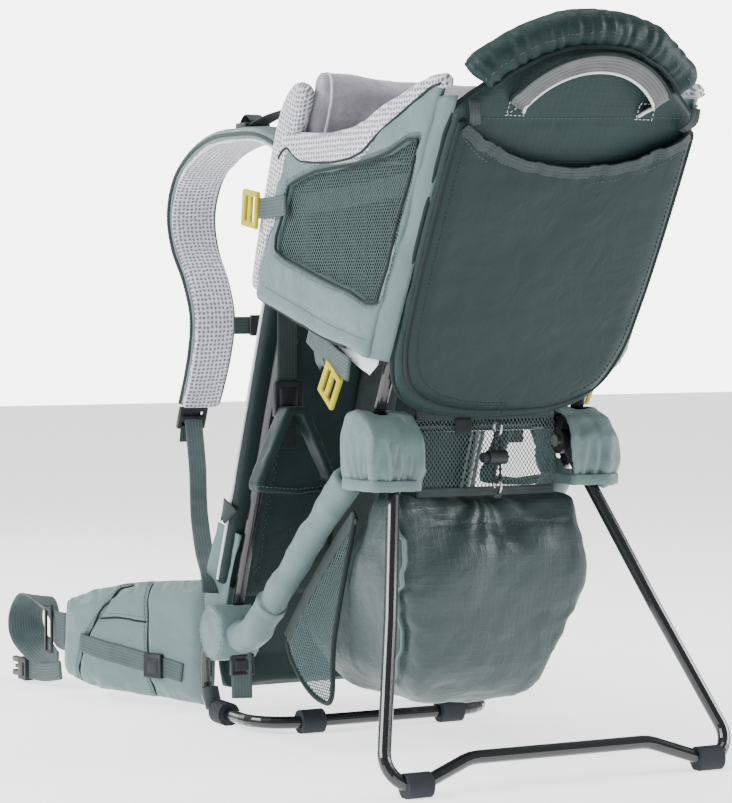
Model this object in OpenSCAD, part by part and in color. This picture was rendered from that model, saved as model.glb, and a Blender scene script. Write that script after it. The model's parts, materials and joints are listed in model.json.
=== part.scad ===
// Child carrier backpack on a folding tube stand.
// +X is to the right as seen from behind, +Y points to the wearer's front,
// +Z is up. The origin is on the floor, under the middle of the whole carrier.

/* [Overall] */
// Height from the floor to the top of the headrest
overall_h = 720; // [700:1:740]
// Lean of the wearer's back panel from the vertical, degrees
back_lean = 21.5; // [20:0.5:23]
// Lean of the rear panel from the vertical, degrees
rear_lean = 28.6; // [27.5:0.1:29.5]

/* [Tubes] */
// Radius of the frame tubes
tube_r = 6.5; // [6:0.1:7]
// Height of the floor tubes' centre line
floor_z = 12; // [11.5:0.5:13]
// Half width of the floor loop
loop_x = 140; // [138:1:142]
// Half width of the back frame
frame_x = 125; // [122:1:126]

/* [Kickstand] */
// Distance of the kickstand pivot behind the origin
pivot_back = 265; // [263:1:267]
// Height of the kickstand pivot
pivot_z = 312; // [310:1:314]
// Half distance between the kickstand's two eyes
pivot_x = 98; // [97:1:99]
// Rake of the open kickstand from the vertical, degrees
kick_rake = 27.9; // [27:0.1:29]
// Radius of the pivot pins
pin_r = 4; // [3.5:0.1:4.5]
// Radial clearance of the pins in the kickstand's eyes
pin_gap = 0.05; // [0.02:0.01:0.1]

/* [Soft parts] */
// Half width of the back panel
panel_x = 146; // [144:1:147]
// Thickness of the back panel
panel_t = 18; // [16:1:18]
// Thickness of the shoulder pads
pad_t = 14; // [10:1:15]
// Width of the shoulder pads
pad_w = 64; // [55:1:68]
// Half spacing of the shoulder pads
pad_x = 85; // [82:1:88]
// Radius of the headrest roll
roll_r = 19; // [17:1:20]
// Thickness of the webbing
web_t = 2.5; // [2:0.1:3]

/* [Hidden] */
$fn = 48;
pivot_y = -pivot_back;
foot_r = 12;
pan = 3; // turn of the wings towards the rear panel, degrees
back_foot = [0, 80, 70];
rear_foot = [0, -280, 340];
frame_n = -16; // depth of the back frame behind the panel's middle
hub = [133, 40, 102];
diag_low = [137, -20, 100];
diag_top = [119, -250, 312];
arch_r = 140;
arch_top = (overall_h - roll_r - 340 - 4 * sin(rear_lean)) / cos(rear_lean);
stirrup_x = 134;
stirrup_y = -100;
stirrup_z = 452;
lock_z = 299;

teal = "#4f6664";
teal_dark = "#3a4b4b";
lilac = "#c9c6d2";
plush = "#a9a3b3";
anthracite = "#2e3238";
black = "#24272b";
slate = "#3b4148";
yellow = "#e2c81f";
mesh_grey = "#59696a";

function unit(v) = v / norm(v);
// Catmull-Rom curve through the points of p, with n steps a span
function spline(a, b, c, d, t) =
    0.5 * (2 * b + (c - a) * t + (2 * a - 5 * b + 4 * c - d) * t * t
    + (3 * b - a - 3 * c + d) * t * t * t);
function smooth(p, n = 5) =
    let (m = len(p) - 1)
    [for (i = [0 : m - 1]) for (k = [0 : n - 1])
        spline(p[max(i - 1, 0)], p[i], p[i + 1], p[min(i + 2, m)], k / n), p[m]];
function normal_at(p, i) =
    let (d = unit(p[min(i + 1, len(p) - 1)] - p[max(i - 1, 0)])) [-d[1], d[0]];
// Closed outline of a band of thickness t along the path p
function band(p, t) =
    concat([for (i = [0 : len(p) - 1]) p[i] + normal_at(p, i) * t / 2],
           [for (i = [len(p) - 1 : -1 : 0]) p[i] - normal_at(p, i) * t / 2]);
// Outline of half points, completed by their mirror image in x
function both_halves(p) =
    concat(p, [for (i = [len(p) - 1 : -1 : 0]) [-p[i][0], p[i][1]]]);
function arc(c, r, a0, a1, n = 16) =
    [for (i = [0 : n]) c + r * [cos(a0 + (a1 - a0) * i / n), sin(a0 + (a1 - a0) * i / n)]];

// Draws its children here and mirrored to the other side
module pair() { children(); mirror([1, 0, 0]) children(); }
module left() { mirror([1, 0, 0]) children(); }
// Extrudes an outline given in (y, z) over the width w around x
module side_extrude(x, w) { translate([x - w / 2, 0, 0]) rotate([90, 0, 90]) linear_extrude(w) children(); }
// Extrudes an outline given in (x, z) from y0 to y1
module face_extrude(y0, y1) { translate([0, y1, 0]) rotate([90, 0, 0]) linear_extrude(y1 - y0) children(); }
module box(low, high) { translate(low) cube(high - low); }
// Frames: x stays, z runs up the slope, y points forward out of the panel
module on_back() { translate(back_foot) rotate([back_lean, 0, 0]) children(); }
module on_rear() { translate(rear_foot) rotate([rear_lean, 0, 0]) children(); }
module on_kick() { translate([0, pivot_y, pivot_z]) rotate([-kick_rake, 0, 0]) children(); }

// Round rod between two points
module rod(a, b, r) {
    d = b - a;
    translate(a) rotate([0, acos(d[2] / norm(d)), atan2(d[1], d[0])]) cylinder(h = norm(d), r = r);
}
// Points of the path p with its corners rounded to the radii R
function rounded(p, R) = [for (i = [0 : len(p) - 1])
    if (R[i] == 0) p[i] else
    let (u = unit(p[i - 1] - p[i]), v = unit(p[i + 1] - p[i]), half = acos(u * v) / 2,
         c = p[i] + unit(u + v) * R[i] / sin(half), e1 = unit(p[i] + u * R[i] / tan(half) - c),
         turn = 180 - 2 * half, n = ceil(turn / 13))
    each [for (k = [0 : n]) c + R[i] * (e1 * cos(turn * k / n) - u * sin(turn * k / n))]];
function tangent(p, i) = unit(p[min(i + 1, len(p) - 1)] - p[max(i - 1, 0)]);
// Sideways directions carried along the path without twist
function carried(p, i, n) =
    i == len(p) ? [] : let (t = tangent(p, i), m = unit(n - (n * t) * t)) concat([m], carried(p, i + 1, m));
// Closed sweep of a circle of radius r along p, starting with the sideways direction n0
module sweep(p, r, n0, sides = 16) {
    m = len(p);
    side = carried(p, 0, n0);
    rings = [for (i = [0 : m - 1]) let (b = cross(tangent(p, i), side[i]))
        each [for (k = [0 : sides - 1]) p[i] + r * (side[i] * cos(360 * k / sides) + b * sin(360 * k / sides))]];
    polyhedron(rings, concat(
        [[for (k = [0 : sides - 1]) k]],
        [for (i = [0 : m - 2]) for (k = [0 : sides - 1]) let (a = i * sides + k, b = i * sides + (k + 1) % sides)
            each [[b + sides, b, a], [a + sides, b + sides, a]]],
        [[for (k = [sides - 1 : -1 : 0]) (m - 1) * sides + k]]));
}
// Bent tube through the points p; R lists the bend radius at each point
module tube(p, r, R, n0) { sweep(rounded(p, R), r, n0); }

// ---- Frame ----
loop_end = [loop_x, 52, 108];
loop_knee = [loop_x, 90, 75];
loop_side = [loop_end, loop_knee, [loop_x, 90, floor_z], [loop_x, -50, floor_z]];
// The other side's points in reverse order
function mirrored(p) = [for (i = [len(p) - 1 : -1 : 0]) [-p[i][0], p[i][1], p[i][2]]];
module floor_loop_tube() {
    color(anthracite) tube(concat(loop_side, mirrored(loop_side)), tube_r,
        [0, 25, 28, 45, 45, 28, 25, 0], [1, 0, 0]);
}

frame_side = [[frame_x, frame_n, 46], [frame_x, frame_n, 572]];
module back_frame_tube() {
    color(anthracite) on_back() tube(concat(frame_side, mirrored(frame_side)), tube_r, [0, 50, 50, 0], [0, 1, 0]);
}

diag_start = [138, 30, 96];
module diagonal_tubes() {
    color(anthracite) pair() tube([diag_start, diag_low, diag_top], tube_r, [0, 60, 0], [1, 0, 0]);
}

// Straight ends of the tubes that meet in the hubs
module hub_tube_ends() {
    rod(loop_end, loop_knee, tube_r);
    rod(diag_start, diag_low, tube_r);
    on_back() rod(frame_side[0], [frame_x, frame_n, 200], tube_r);
}
module hub_disc() { translate(hub) rotate([0, 90, 0]) cylinder(h = 34, r = 23, center = true); }
module hub_joints() {
    color(black) pair() difference() {
        hub_disc();
        hub_tube_ends();
    }
}

module rear_cross_tube() {
    color(anthracite) rod([-86.5, pivot_y + 7, 330], [86.5, pivot_y + 7, 330], tube_r);
}
hoop_side = [[112, 20, -13], [118, 20, 345]];
module rear_hoop_tube() {
    color(anthracite) on_rear() tube(concat(hoop_side, mirrored(hoop_side)), tube_r, [0, 70, 70, 0], [0, 1, 0]);
}
module hoop_end(r = tube_r) { on_rear() rod(hoop_side[0], [112.8, 20, 40], r); }

module ear(x0, x1) { translate([x0, pivot_y, pivot_z]) rotate([0, 90, 0]) cylinder(h = x1 - x0, r = 13); }
module kickstand_brackets() {
    color(black) difference() {
        pair() {
            ear(86.5, 91.5);
            ear(104.5, 109.5);
            box([86.5, pivot_y - 9, pivot_z + 12], [126, pivot_y + 20, pivot_z + 25]);
            box([104.5, pivot_y, pivot_z], [112, pivot_y + 20, pivot_z + 13]);
            rod(diag_top + 26 * unit(diag_low - diag_top), diag_top, 9.5);
        }
        pair() {
            translate([80, pivot_y, pivot_z]) rotate([0, 90, 0]) cylinder(h = 40, r = pin_r);
            translate([92, pivot_y, pivot_z]) rotate([0, 90, 0]) cylinder(h = 12, r = 11.5);
        }
        pair() rod(diag_top, diag_low, tube_r);
        pair() hoop_end();
    }
}
module pivot_pins() {
    color("silver") pair() {
        translate([86.5, pivot_y, pivot_z]) rotate([0, 90, 0]) cylinder(h = 23, r = pin_r);
        translate([83.5, pivot_y, pivot_z]) rotate([0, 90, 0]) cylinder(h = 3, r = 6);
    }
}
module front_feet() {
    color(slate) intersection() {
        difference() {
            pair() {
                translate([loop_x, 43, floor_z]) rotate([90, 0, 0]) cylinder(h = 26, r = foot_r + 0.6, center = true);
                translate([83, -50, floor_z]) rotate([0, 90, 0]) cylinder(h = 26, r = foot_r + 0.6, center = true);
            }
            pair() rod([loop_x, 70, floor_z], [loop_x, 20, floor_z], tube_r);
            rod([-100, -50, floor_z], [100, -50, floor_z], tube_r);
        }
        box([-200, -100, 0], [200, 100, 40]);
    }
}

// ---- Kickstand, in its own raked plane ----
kick_side = [[pivot_x + 4.4, 0, -16], [147, 0, -180], [200, 0, -358], [98, 0, -319]];
module kick_loop() {
    tube(concat(kick_side, mirrored(kick_side)), tube_r, [0, 80, 26, 40, 40, 26, 80, 0], [0, 1, 0]);
}
module kickstand_tube() { color(anthracite) on_kick() kick_loop(); }
module kickstand_lugs() {
    color(black) on_kick() difference() {
        pair() {
            translate([pivot_x - 6, 0, 0]) rotate([0, 90, 0]) cylinder(h = 12, r = 11);
            rod([pivot_x + 1, 0, -4], [pivot_x + 9, 0, -33.4], 8.6);
        }
        pair() {
            translate([pivot_x - 20, 0, 0]) rotate([0, 90, 0]) cylinder(h = 40, r = pin_r + pin_gap);
            box([pivot_x + 6, -20, -15], [pivot_x + 20, 20, 20]);
            box([pivot_x - 20, -20, -15], [pivot_x - 6, 20, 20]);
            rod(kick_side[0], kick_side[1], tube_r);
        }
    }
}
module kickstand_feet() {
    foot_d = 340.5;
    color(slate) intersection() {
        difference() {
            pair() translate([159.7, pivot_y - foot_d * sin(kick_rake), pivot_z - foot_d * cos(kick_rake)])
                rotate([0, 90, 0]) cylinder(h = 26, r = foot_r, center = true);
            on_kick() kick_loop();
        }
        box([-250, -500, 0], [250, 0, 60]);
    }
}

// ---- Back system ----
module back_panel() {
    color(teal_dark) on_back() difference() {
        face_extrude(-panel_t / 2, panel_t / 2)
            polygon(both_halves([[110, 70], [panel_x, 90], [panel_x, 560], [136, 590], [112, 606], [70, 610]]));
        box([-60, panel_t / 2 - 5, 150], [60, panel_t, 480]);
    }
}
module lumbar_pad() {
    color(teal) side_extrude(0, 224)
        polygon(concat(smooth([[118, 24], [123, 80], [100, 145], [66, 206]]),
                       [[54, 210], [39, 205], [66.5, 135], [90, 70], [92, 24]]));
}
module shoulder_yoke() {
    color(teal_dark) on_back() face_extrude(panel_t / 2 + 0.5, panel_t / 2 + 6.5)
        polygon(both_halves([[40, 478], [108, 520], [116, 560], [60, 556]]));
}
// Middle line of a shoulder pad, from the yoke over the shoulder and down the chest
pad_path = [[-97, 574], [-60, 604], [0, 625], [63, 629], [120, 627], [175, 613], [222, 588],
    [246, 550], [240, 510], [213, 470], [200, 430], [214, 385], [243, 335]];
module shoulder_pad() {
    intersection() {
        side_extrude(pad_x, pad_w) polygon(band(smooth(pad_path), pad_t));
        union() {
            box([pad_x - 26, -200, 300], [pad_x + pad_w / 2, 300, 480]);
            box([pad_x - pad_w / 2, -200, 480], [pad_x + pad_w / 2, 300, 700]);
        }
    }
}
module shoulder_strap_left() { color(teal) left() shoulder_pad(); }
module shoulder_strap_right() { color(teal) shoulder_pad(); }
module load_lifters() {
    color(black) pair() side_extrude(pad_x, 22)
        polygon(band(smooth([[-110, 650], [-40, 652], [30, 648], [88, 638]]), web_t));
}
module ladder_lock(w, h, t) {
    face_extrude(-t / 2, t / 2) difference() {
        square([w, h], center = true);
        translate([0, h / 4 - 1]) square([w - 8, h / 2 - 7], center = true);
        translate([0, -h / 4 + 1]) square([w - 8, h / 2 - 7], center = true);
    }
}
module strap_buckles() {
    color(black) pair() translate([pad_x, 251, 318]) rotate([25, 0, 0]) ladder_lock(34, 26, 6);
}
module lower_straps() {
    p = smooth([[232, 304], [197, 262], [180, 215], [125, 178], [64, 160]], 4);
    color(teal) pair() translate([0, 0, 0]) multmatrix([[1, -0.34, 0, 169], [0, 1, 0, 0], [0, 0, 1, 0], [0, 0, 0, 1]])
        side_extrude(0, 20) polygon(band(p, web_t));
}
module chest_strap() {
    color(black) difference() {
        box([-pad_x - 20, 223, 413], [pad_x + 20, 223 + web_t, 433]);
        box([-24, 220, 400], [24, 230, 450]);
    }
}
module chest_buckle() {
    color(black) {
        box([-24, 220, 411], [24, 229, 435]);
    }
}

// ---- Hip belt ----
fin_path = [[126, 112], [140, 140], [162, 190], [190, 250], [209, 318]];
module fin_shape() {
    s = smooth(fin_path);
    turn = atan2(s[1][1] - s[0][1], s[1][0] - s[0][0]);
    intersection() {
        translate([0, 0, 5]) linear_extrude(150) polygon(concat(band(s, 20),
            arc(s[0], 10, turn - 96, turn - 264, 12)));
        side_extrude(180, 160) polygon(concat(
            smooth([[100, 150], [190, 146], [270, 130], [330, 104]]),
            smooth([[334, 50], [300, 18], [200, 6], [100, 10]])));
    }
}
module hip_fin_left() { color(teal) left() fin_shape(); }
module hip_fin_right() { color(teal) fin_shape(); }
module belt_loop() {
    translate([0, 0, 50]) linear_extrude(46)
        polygon(band(smooth([[212, 326], [222, 380], [226, 440], [224, 485], [216, 489],
            [209, 481], [208, 430], [204, 380]]), web_t));
}
module belt_tail() {
    translate([0, 0, 6]) linear_extrude(22)
        polygon(band(smooth([[210, 332], [217, 380], [219, 420]]), web_t));
}
module hip_webbing_left() { color(teal) left() { belt_loop(); belt_tail(); } }
module hip_webbing_right() { color(teal) { belt_loop(); belt_tail(); } }
module hip_buckle_male() {
    color(black) left() translate([220, 0, 17]) {
        difference() {
            box([-5, 421, -13], [5, 446, 13]);
            box([-8, 426, -8], [8, 431, 8]);
        }
        for (s = [-1, 1]) translate([0, 0, s * 8]) box([-3, 446, -3], [3, 470, 3]);
        box([-2, 446, -2], [2, 464, 2]);
    }
}
module hip_buckle_female() {
    color(black) translate([220, 0, 17]) difference() {
        box([-6, 421, -14], [6, 470, 14]);
        box([-8, 426, -8], [8, 431, 8]);
        box([-4, 444, -11.5], [4, 475, 11.5]);
    }
}
module triglide() {
    translate([221.4, 352, 73]) rotate([0, 0, -10.5]) rotate([90, 0, 90])
        linear_extrude(3, center = true) difference() {
            square([16, 56], center = true);
            square([9, 49], center = true);
        }
}
module hip_triglide_left() { color(black) left() triglide(); }
module hip_triglide_right() { color(black) triglide(); }

// ---- Cockpit ----
module seat() {
    color(teal_dark) translate([0, 0, 416]) linear_extrude(24)
        polygon(both_halves([[34, -102], [36, -150], [60, -178], [86, -196], [88, -262]]));
}
function rear_line(z, n) = -280 - (z - 340) * tan(rear_lean) + n;
wing_outline = concat(
    smooth([[-78, 456], [-100, 520], [-140, 611], [-165, 616], [-225, 612], [-285, 617], [-335, 634], [-420, 655]]),
    [[rear_line(655, 14), 655], [rear_line(398, 14), 398]],
    smooth([[-255, 408], [-207, 418], [-116, 445], [-78, 456]], 3));
wing_window = [[-152, 566], [-122, 503], [-225, 472], [-312, 455], [-385, 592], [-290, 582], [-205, 578]];
// Lays a side piece against the cockpit: turned by pan about its front edge
module on_wing(x) { translate([x, -100, 0]) rotate([0, 0, -pan]) translate([-x, 100, 0]) children(); }
module wing_shape() {
    on_wing(154) side_extrude(154, 11) difference() {
        polygon(wing_outline);
        polygon(wing_window);
    }
}
module wing_left() { color(teal) left() wing_shape(); }
module wing_right() { color(teal) wing_shape(); }
module wing_net() { on_wing(154) side_extrude(154, 3) polygon(wing_window); }
module wing_mesh_left() { color(mesh_grey) left() wing_net(); }
module wing_mesh_right() { color(mesh_grey) wing_net(); }
module front_cushion() {
    color(plush) on_back() side_extrude(0, 228)
        polygon(concat(arc([-24, 598], 13, 180, 360, 10), arc([-24, 652], 13, 0, 180, 10)));
}
rear_outline = concat(
    smooth([[0, 0], [60, 4], [104, 22], [124, 60], [128, 120], [130, 200], [131, 300]], 4),
    [[128, 330]], arc([0, arch_top - arch_r], arch_r - 10, 49, 90, 12));
module rear_panel() {
    color(teal_dark) on_rear() face_extrude(-9, 9) polygon(both_halves(rear_outline));
}
pocket_hem = [[126, 322], [100, 300], [50, 281], [0, 275]];
module pocket_area(inset) {
    polygon(both_halves(concat(smooth([[0, 14 + inset], [56, 18 + inset], [98 - inset, 36 + inset],
        [118 - inset, 70], [125 - inset, 130], [127 - inset, 230], [127 - inset, 320]], 4),
        smooth(pocket_hem, 4))));
}
module rear_pocket() {
    color(teal) on_rear() difference() {
        face_extrude(-25, -9) pocket_area(0);
        face_extrude(-21, -9) polygon(both_halves(concat(smooth([[0, 22], [54, 26], [92, 44],
            [110, 78], [116, 130], [118, 230], [118, 345]], 4), [[0, 345]])));
    }
}
module headrest_roll() {
    color(teal) difference() {
        on_rear() translate([0, 4, arch_top - arch_r]) rotate([90, 0, 0]) rotate([0, 0, 38])
            rotate_extrude(angle = 104) translate([arch_r, 0]) circle(roll_r);
        on_rear() face_extrude(-9, 9) polygon(both_halves(rear_outline));
    }
}
handle_y = -24;
module grab_handle() {
    r = 92;
    color("#9ba0a2") on_rear() {
        face_extrude(handle_y - 1.5, handle_y + 1.5)
            polygon(band(arc([0, 388 - r], r, 38, 142, 24), 14));
        pair() face_extrude(handle_y + 1.5, -9) polygon([[64, 342], [78, 342], [80, 354], [66, 362]]);
    }
}
module harness_pads() {
    p = smooth([[rear_line(606, 13.5), 606], [-395, 628], [-335, 640], [-270, 612], [-215, 560]], 5);
    color(teal_dark) pair() side_extrude(46, 38) polygon(band(p, 9));
}
module harness_buckle() { color(black) box([-22, -184, 508], [22, -170, 550]); }
module crotch_strap() {
    color(black) side_extrude(0, 30) polygon(band(smooth([[-150, 440.5], [-158, 476], [-171, 507]], 4), 3));
}

// Square ladder ring of an adjuster in the (y, z) plane
module ring_plate(y, z, turn) {
    translate([0, y, z]) rotate([turn, 0, 0]) side_extrude(0, 5) difference() {
        square([34, 38], center = true);
        translate([-6.5, 0]) square([9, 26], center = true);
        translate([7.5, 0]) square([7, 26], center = true);
    }
}
ring_up = [165, -80, 545];
ring_low = [146, -222, 370];
module adjuster_rings() {
    color(yellow) pair() {
        translate([ring_up[0], 0, 0]) ring_plate(ring_up[1], ring_up[2], 8);
        translate([ring_low[0], 0, 0]) ring_plate(ring_low[1], ring_low[2], 35);
    }
}
module wing_straps() {
    color(black) pair() {
        on_wing(161.2) side_extrude(161.2, 2.5) polygon([[-210, 540], [-210, 562], [-99, 556], [-99, 534]]);
        side_extrude(146, 2.5) polygon([[-254, 397], [-236, 409], [-225, 393], [-243, 381]]);
    }
}

module stirrup_strap() {
    box([stirrup_x - 11, stirrup_y - web_t / 2, 300], [stirrup_x + 11, stirrup_y + web_t / 2, stirrup_z]);
}
module stirrup_strap_left() { color(black) left() stirrup_strap(); }
module stirrup_strap_right() { color(black) stirrup_strap(); }
module stirrup_loop() {
    translate([stirrup_x, 0, 0]) face_extrude(stirrup_y - 26, stirrup_y - 1.8) difference() {
        polygon([[-12, 345], [12, 345], [46, 268], [44, 260], [0, 257], [-44, 260], [-46, 268]]);
        polygon([[-4, 337], [4, 337], [38, 268], [0, 264], [-38, 268]]);
    }
}
module stirrup_loop_left() { color(teal_dark) left() stirrup_loop(); }
module stirrup_loop_right() { color(teal_dark) stirrup_loop(); }

// ---- Storage and covers ----
module storage_bag() {
    color(teal) intersection() {
        side_extrude(0, 240) polygon(concat([[-222, 262], [-276, 262]],
            smooth([[-284, 250], [-292, 200], [-288, 140], [-268, 82], [-232, 51], [-170, 47], [-112, 49],
            [-66, 74], [-42, 108]], 4), [[-50, 122]]));
        face_extrude(-320, 0) polygon(both_halves(
            smooth([[0, 46], [45, 50], [68, 62], [90, 111], [107, 195], [102, 262]], 4)));
    }
}
module side_pocket() {
    area = [[-214, 240], [-176, 120], [-164, 56], [-141, 47], [-106, 58], [-74, 84], [-66, 104]];
    side_extrude(117.5, 3) polygon(area);
    // Hem that joins the net to the bag behind and below, open at the top
    side_extrude(112.4, 7.2) polygon(concat(area, [[-72, 105], [-79, 89], [-108, 65], [-141, 54],
        [-158, 61], [-169, 121], [-206, 236]]));
}
module side_pocket_left() { color(mesh_grey) left() side_pocket(); }
module side_pocket_right() { color(mesh_grey) side_pocket(); }

hood = [[-302, 270], [-300, 318], [-285, 338], [-262, 347], [-240, 344], [-228, 325], [-226, 290], [-226, 270]];
hood_room = [[-298, 260], [-296, 316], [-282, 334], [-262, 343], [-242, 340], [-232, 323], [-230, 290], [-230, 260]];
module hinge_covers() {
    color(teal) difference() {
        pair() side_extrude(110, 60) polygon(hood);
        pair() side_extrude(106, 60) polygon(hood_room);
        pair() hoop_end(tube_r + 1);
        pair() rod(diag_top, diag_low, tube_r + 1);
        pair() rod(diag_top + 30 * unit(diag_low - diag_top), diag_top, 10.5);
    }
}
module rear_mesh_panel() { color(mesh_grey) box([-78, -271, 264], [78, -268, 350]); }
module diagonal_sleeves() {
    d = diag_top - diag_low;
    color(teal) difference() {
        pair() rod(diag_low + 0.12 * d, diag_low + 0.84 * d, 15);
        pair() rod(diag_low, diag_top, tube_r);
    }
}
module hub_covers() {
    color(teal) pair() difference() {
        translate([135, 36, 99]) rotate([0, 90, 0]) cylinder(h = 48, r = 30, center = true);
        hub_disc();
        hub_tube_ends();
    }
}

// ---- Drawcord of the bag, a closed loop between two rings ----
cord_y = -288;
cord_x = 4;
cord_half = 3.2;
cord_ends = [277, 320];
ring_wire = 7;
module drawcord() {
    color(black) {
        for (s = [-1, 1]) rod([cord_x + s * cord_half, cord_y, cord_ends[0]],
            [cord_x + s * cord_half, cord_y, cord_ends[1]], 1.2);
        translate([cord_x, cord_y, cord_ends[1]]) rotate([90, 0, 0])
            rotate_extrude(angle = 180) translate([cord_half, 0]) circle(1.2);
        translate([cord_x, cord_y, cord_ends[0]]) rotate([90, 180, 0])
            rotate_extrude(angle = 180) translate([cord_half, 0]) circle(1.2);
    }
}
module cord_lock_body() {
    color(black) translate([3, cord_y, lock_z]) difference() {
        rotate([0, 90, 0]) cylinder(h = 20, r = 7, center = true);
        translate([-11, 0, 0]) rotate([0, 90, 0]) cylinder(h = 6.5, r = 5.05);
        for (s = [-1, 1]) translate([cord_x - 3 + s * cord_half, 0, -10]) cylinder(h = 20, r = 1.3);
    }
}
module cord_lock_button() {
    color(slate) translate([-13.5, cord_y, lock_z]) rotate([0, 90, 0]) cylinder(h = 9, r = 5);
}
module d_rings() {
    color("silver") for (z = [cord_ends[0] - ring_wire, cord_ends[1] + ring_wire])
        translate([cord_x, cord_y, z]) rotate([0, 90, 0]) rotate_extrude() translate([ring_wire, 0]) circle(1.3);
}

floor_loop_tube();
back_frame_tube();
hub_joints();
diagonal_tubes();
kickstand_brackets();
rear_cross_tube();
rear_hoop_tube();
pivot_pins();
front_feet();
kickstand_tube();
kickstand_lugs();
kickstand_feet();
back_panel();
lumbar_pad();
shoulder_yoke();
shoulder_strap_left();
shoulder_strap_right();
load_lifters();
strap_buckles();
lower_straps();
chest_strap();
chest_buckle();
hip_fin_left();
hip_fin_right();
hip_webbing_left();
hip_webbing_right();
hip_buckle_male();
hip_buckle_female();
hip_triglide_left();
hip_triglide_right();
seat();
wing_left();
wing_right();
wing_mesh_left();
wing_mesh_right();
front_cushion();
rear_panel();
rear_pocket();
headrest_roll();
grab_handle();
harness_pads();
harness_buckle();
crotch_strap();
adjuster_rings();
wing_straps();
stirrup_strap_left();
stirrup_strap_right();
stirrup_loop_left();
stirrup_loop_right();
storage_bag();
side_pocket_left();
side_pocket_right();
hinge_covers();
rear_mesh_panel();
diagonal_sleeves();
hub_covers();
drawcord();
cord_lock_body();
cord_lock_button();
d_rings();
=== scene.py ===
"""Baby carrier backpack: soft goods, trims, finishes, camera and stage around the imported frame."""
import json
import math

import bmesh
import bpy
import numpy as np
from bpy.props import FloatProperty, FloatVectorProperty, PointerProperty
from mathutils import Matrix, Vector, noise
from mathutils.bvhtree import BVHTree
from mathutils.geometry import delaunay_2d_cdt


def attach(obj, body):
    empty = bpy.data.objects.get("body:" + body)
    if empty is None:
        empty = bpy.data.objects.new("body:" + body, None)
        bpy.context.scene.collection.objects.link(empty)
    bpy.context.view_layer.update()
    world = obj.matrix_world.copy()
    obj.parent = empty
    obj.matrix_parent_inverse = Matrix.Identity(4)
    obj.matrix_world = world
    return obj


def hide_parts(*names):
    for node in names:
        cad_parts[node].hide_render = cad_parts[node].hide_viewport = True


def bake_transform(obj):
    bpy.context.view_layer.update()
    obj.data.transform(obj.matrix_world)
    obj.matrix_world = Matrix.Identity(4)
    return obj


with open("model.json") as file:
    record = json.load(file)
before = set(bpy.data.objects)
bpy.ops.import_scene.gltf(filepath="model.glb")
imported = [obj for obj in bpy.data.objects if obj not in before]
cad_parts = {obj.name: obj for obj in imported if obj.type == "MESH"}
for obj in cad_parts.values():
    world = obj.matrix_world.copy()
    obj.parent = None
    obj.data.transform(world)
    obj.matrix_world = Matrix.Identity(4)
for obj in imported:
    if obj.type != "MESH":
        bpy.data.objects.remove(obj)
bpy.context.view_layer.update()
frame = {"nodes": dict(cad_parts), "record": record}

bl_info = {
    "name": "Baby carrier backpack",
    "version": (1, 0, 0),
    "blender": (4, 5, 0),
    "location": "View3D > Sidebar > Carrier",
    "description": "Builds the fabric, trims and finishes of a framed baby carrier",
    "category": "Add Mesh",
}

NODES = frame["nodes"]
BODY_OF = {n: b for b, ns in frame["record"]["behaviour"]["bodies"].items() for n in ns}
MM = 0.001
SIDES = ((-1, "left"), (1, "right"))
WEB_THICK = 0.0022
SHARP_ANGLE = math.radians(35)
STRAP_X = 85
HINGE_X, HINGE_Y = 110, -264
HUB_Y, HUB_Z = 36, 99


def colour(name, text, default):
    return FloatVectorProperty(name=name, description=text, subtype="COLOR", size=3,
                               default=default, min=0.0, max=1.0)


def size(name, text, default):
    return FloatProperty(name=name, description=text, default=default, unit="LENGTH",
                         min=0.0, precision=4)


class CarrierFinish(bpy.types.PropertyGroup):
    shell: colour("Shell fabric", "Wings, hip fins, bag and covers", (0.099, 0.150, 0.150))
    dark: colour("Dark fabric", "Rear panel, back panel and seat", (0.012, 0.024, 0.0235))
    # the spacer mesh's dark pores are painted shade in the openings, not a second dye
    spacer: colour("Spacer mesh", "Airy lining with dark pores", (0.60, 0.60, 0.67))
    plush: colour("Plush", "Brushed cushion cover", (0.34, 0.325, 0.375))
    strap: colour("Webbing", "Belts and straps", (0.024, 0.036, 0.036))
    reflective: colour("Reflective webbing", "Grab handle", (0.10, 0.105, 0.108))
    paint: colour("Tube paint", "Gloss anthracite powder coat", (0.010, 0.0125, 0.0145))
    plastic: colour("Moulded plastic", "Hubs and buckles", (0.012, 0.014, 0.017))
    rubber: colour("Foot rubber", "Clip feet", (0.015, 0.019, 0.025))
    yellow: colour("Adjuster yellow", "Ladder rings of the side adjusters", (0.42, 0.36, 0.001))
    steel: colour("Steel", "Rings and pins", (0.42, 0.43, 0.45))


class CarrierSizes(bpy.types.PropertyGroup):
    voxel: size("Padding grid", "Grid that padded pieces are remeshed at", 0.005)
    piping: size("Piping radius", "Corded edge of the panels", 0.0021)
    stitch: size("Stitch length", "One stitch of the visible seams", 0.0030)
    stitch_gap: size("Stitch gap", "Space between two stitches", 0.0016)
    net_cell: size("Net cell", "Opening of the coarse net", 0.0042)


def finish():
    return bpy.context.scene.carrier_finish


def sizes():
    return bpy.context.scene.carrier_sizes


# ---- Local frames of the part, in millimetres ----
def turn_yz(origin, lean):
    """A function that places (x, n, up) on a plane that leans back by an angle, from a foot (y, z)."""
    s, c = math.sin(math.radians(lean)), math.cos(math.radians(lean))

    def place(x, n, up):
        return Vector((x, origin[0] - s * up + c * n, origin[1] + c * up + s * n)) * MM
    return place


BACK_FOOT, BACK_LEAN = (80, 70), 21.5
REAR_FOOT, REAR_LEAN = (-280, 340), 28.6
on_back = turn_yz(BACK_FOOT, BACK_LEAN)
on_rear = turn_yz(REAR_FOOT, REAR_LEAN)
WING_X, WING_FRONT = 154, -100
WING_PAN = math.radians(3)


def back_face(x, up, n):
    return on_back(x, n, up)


def rear_face(x, up, n):
    return on_rear(x, n, up)



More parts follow.
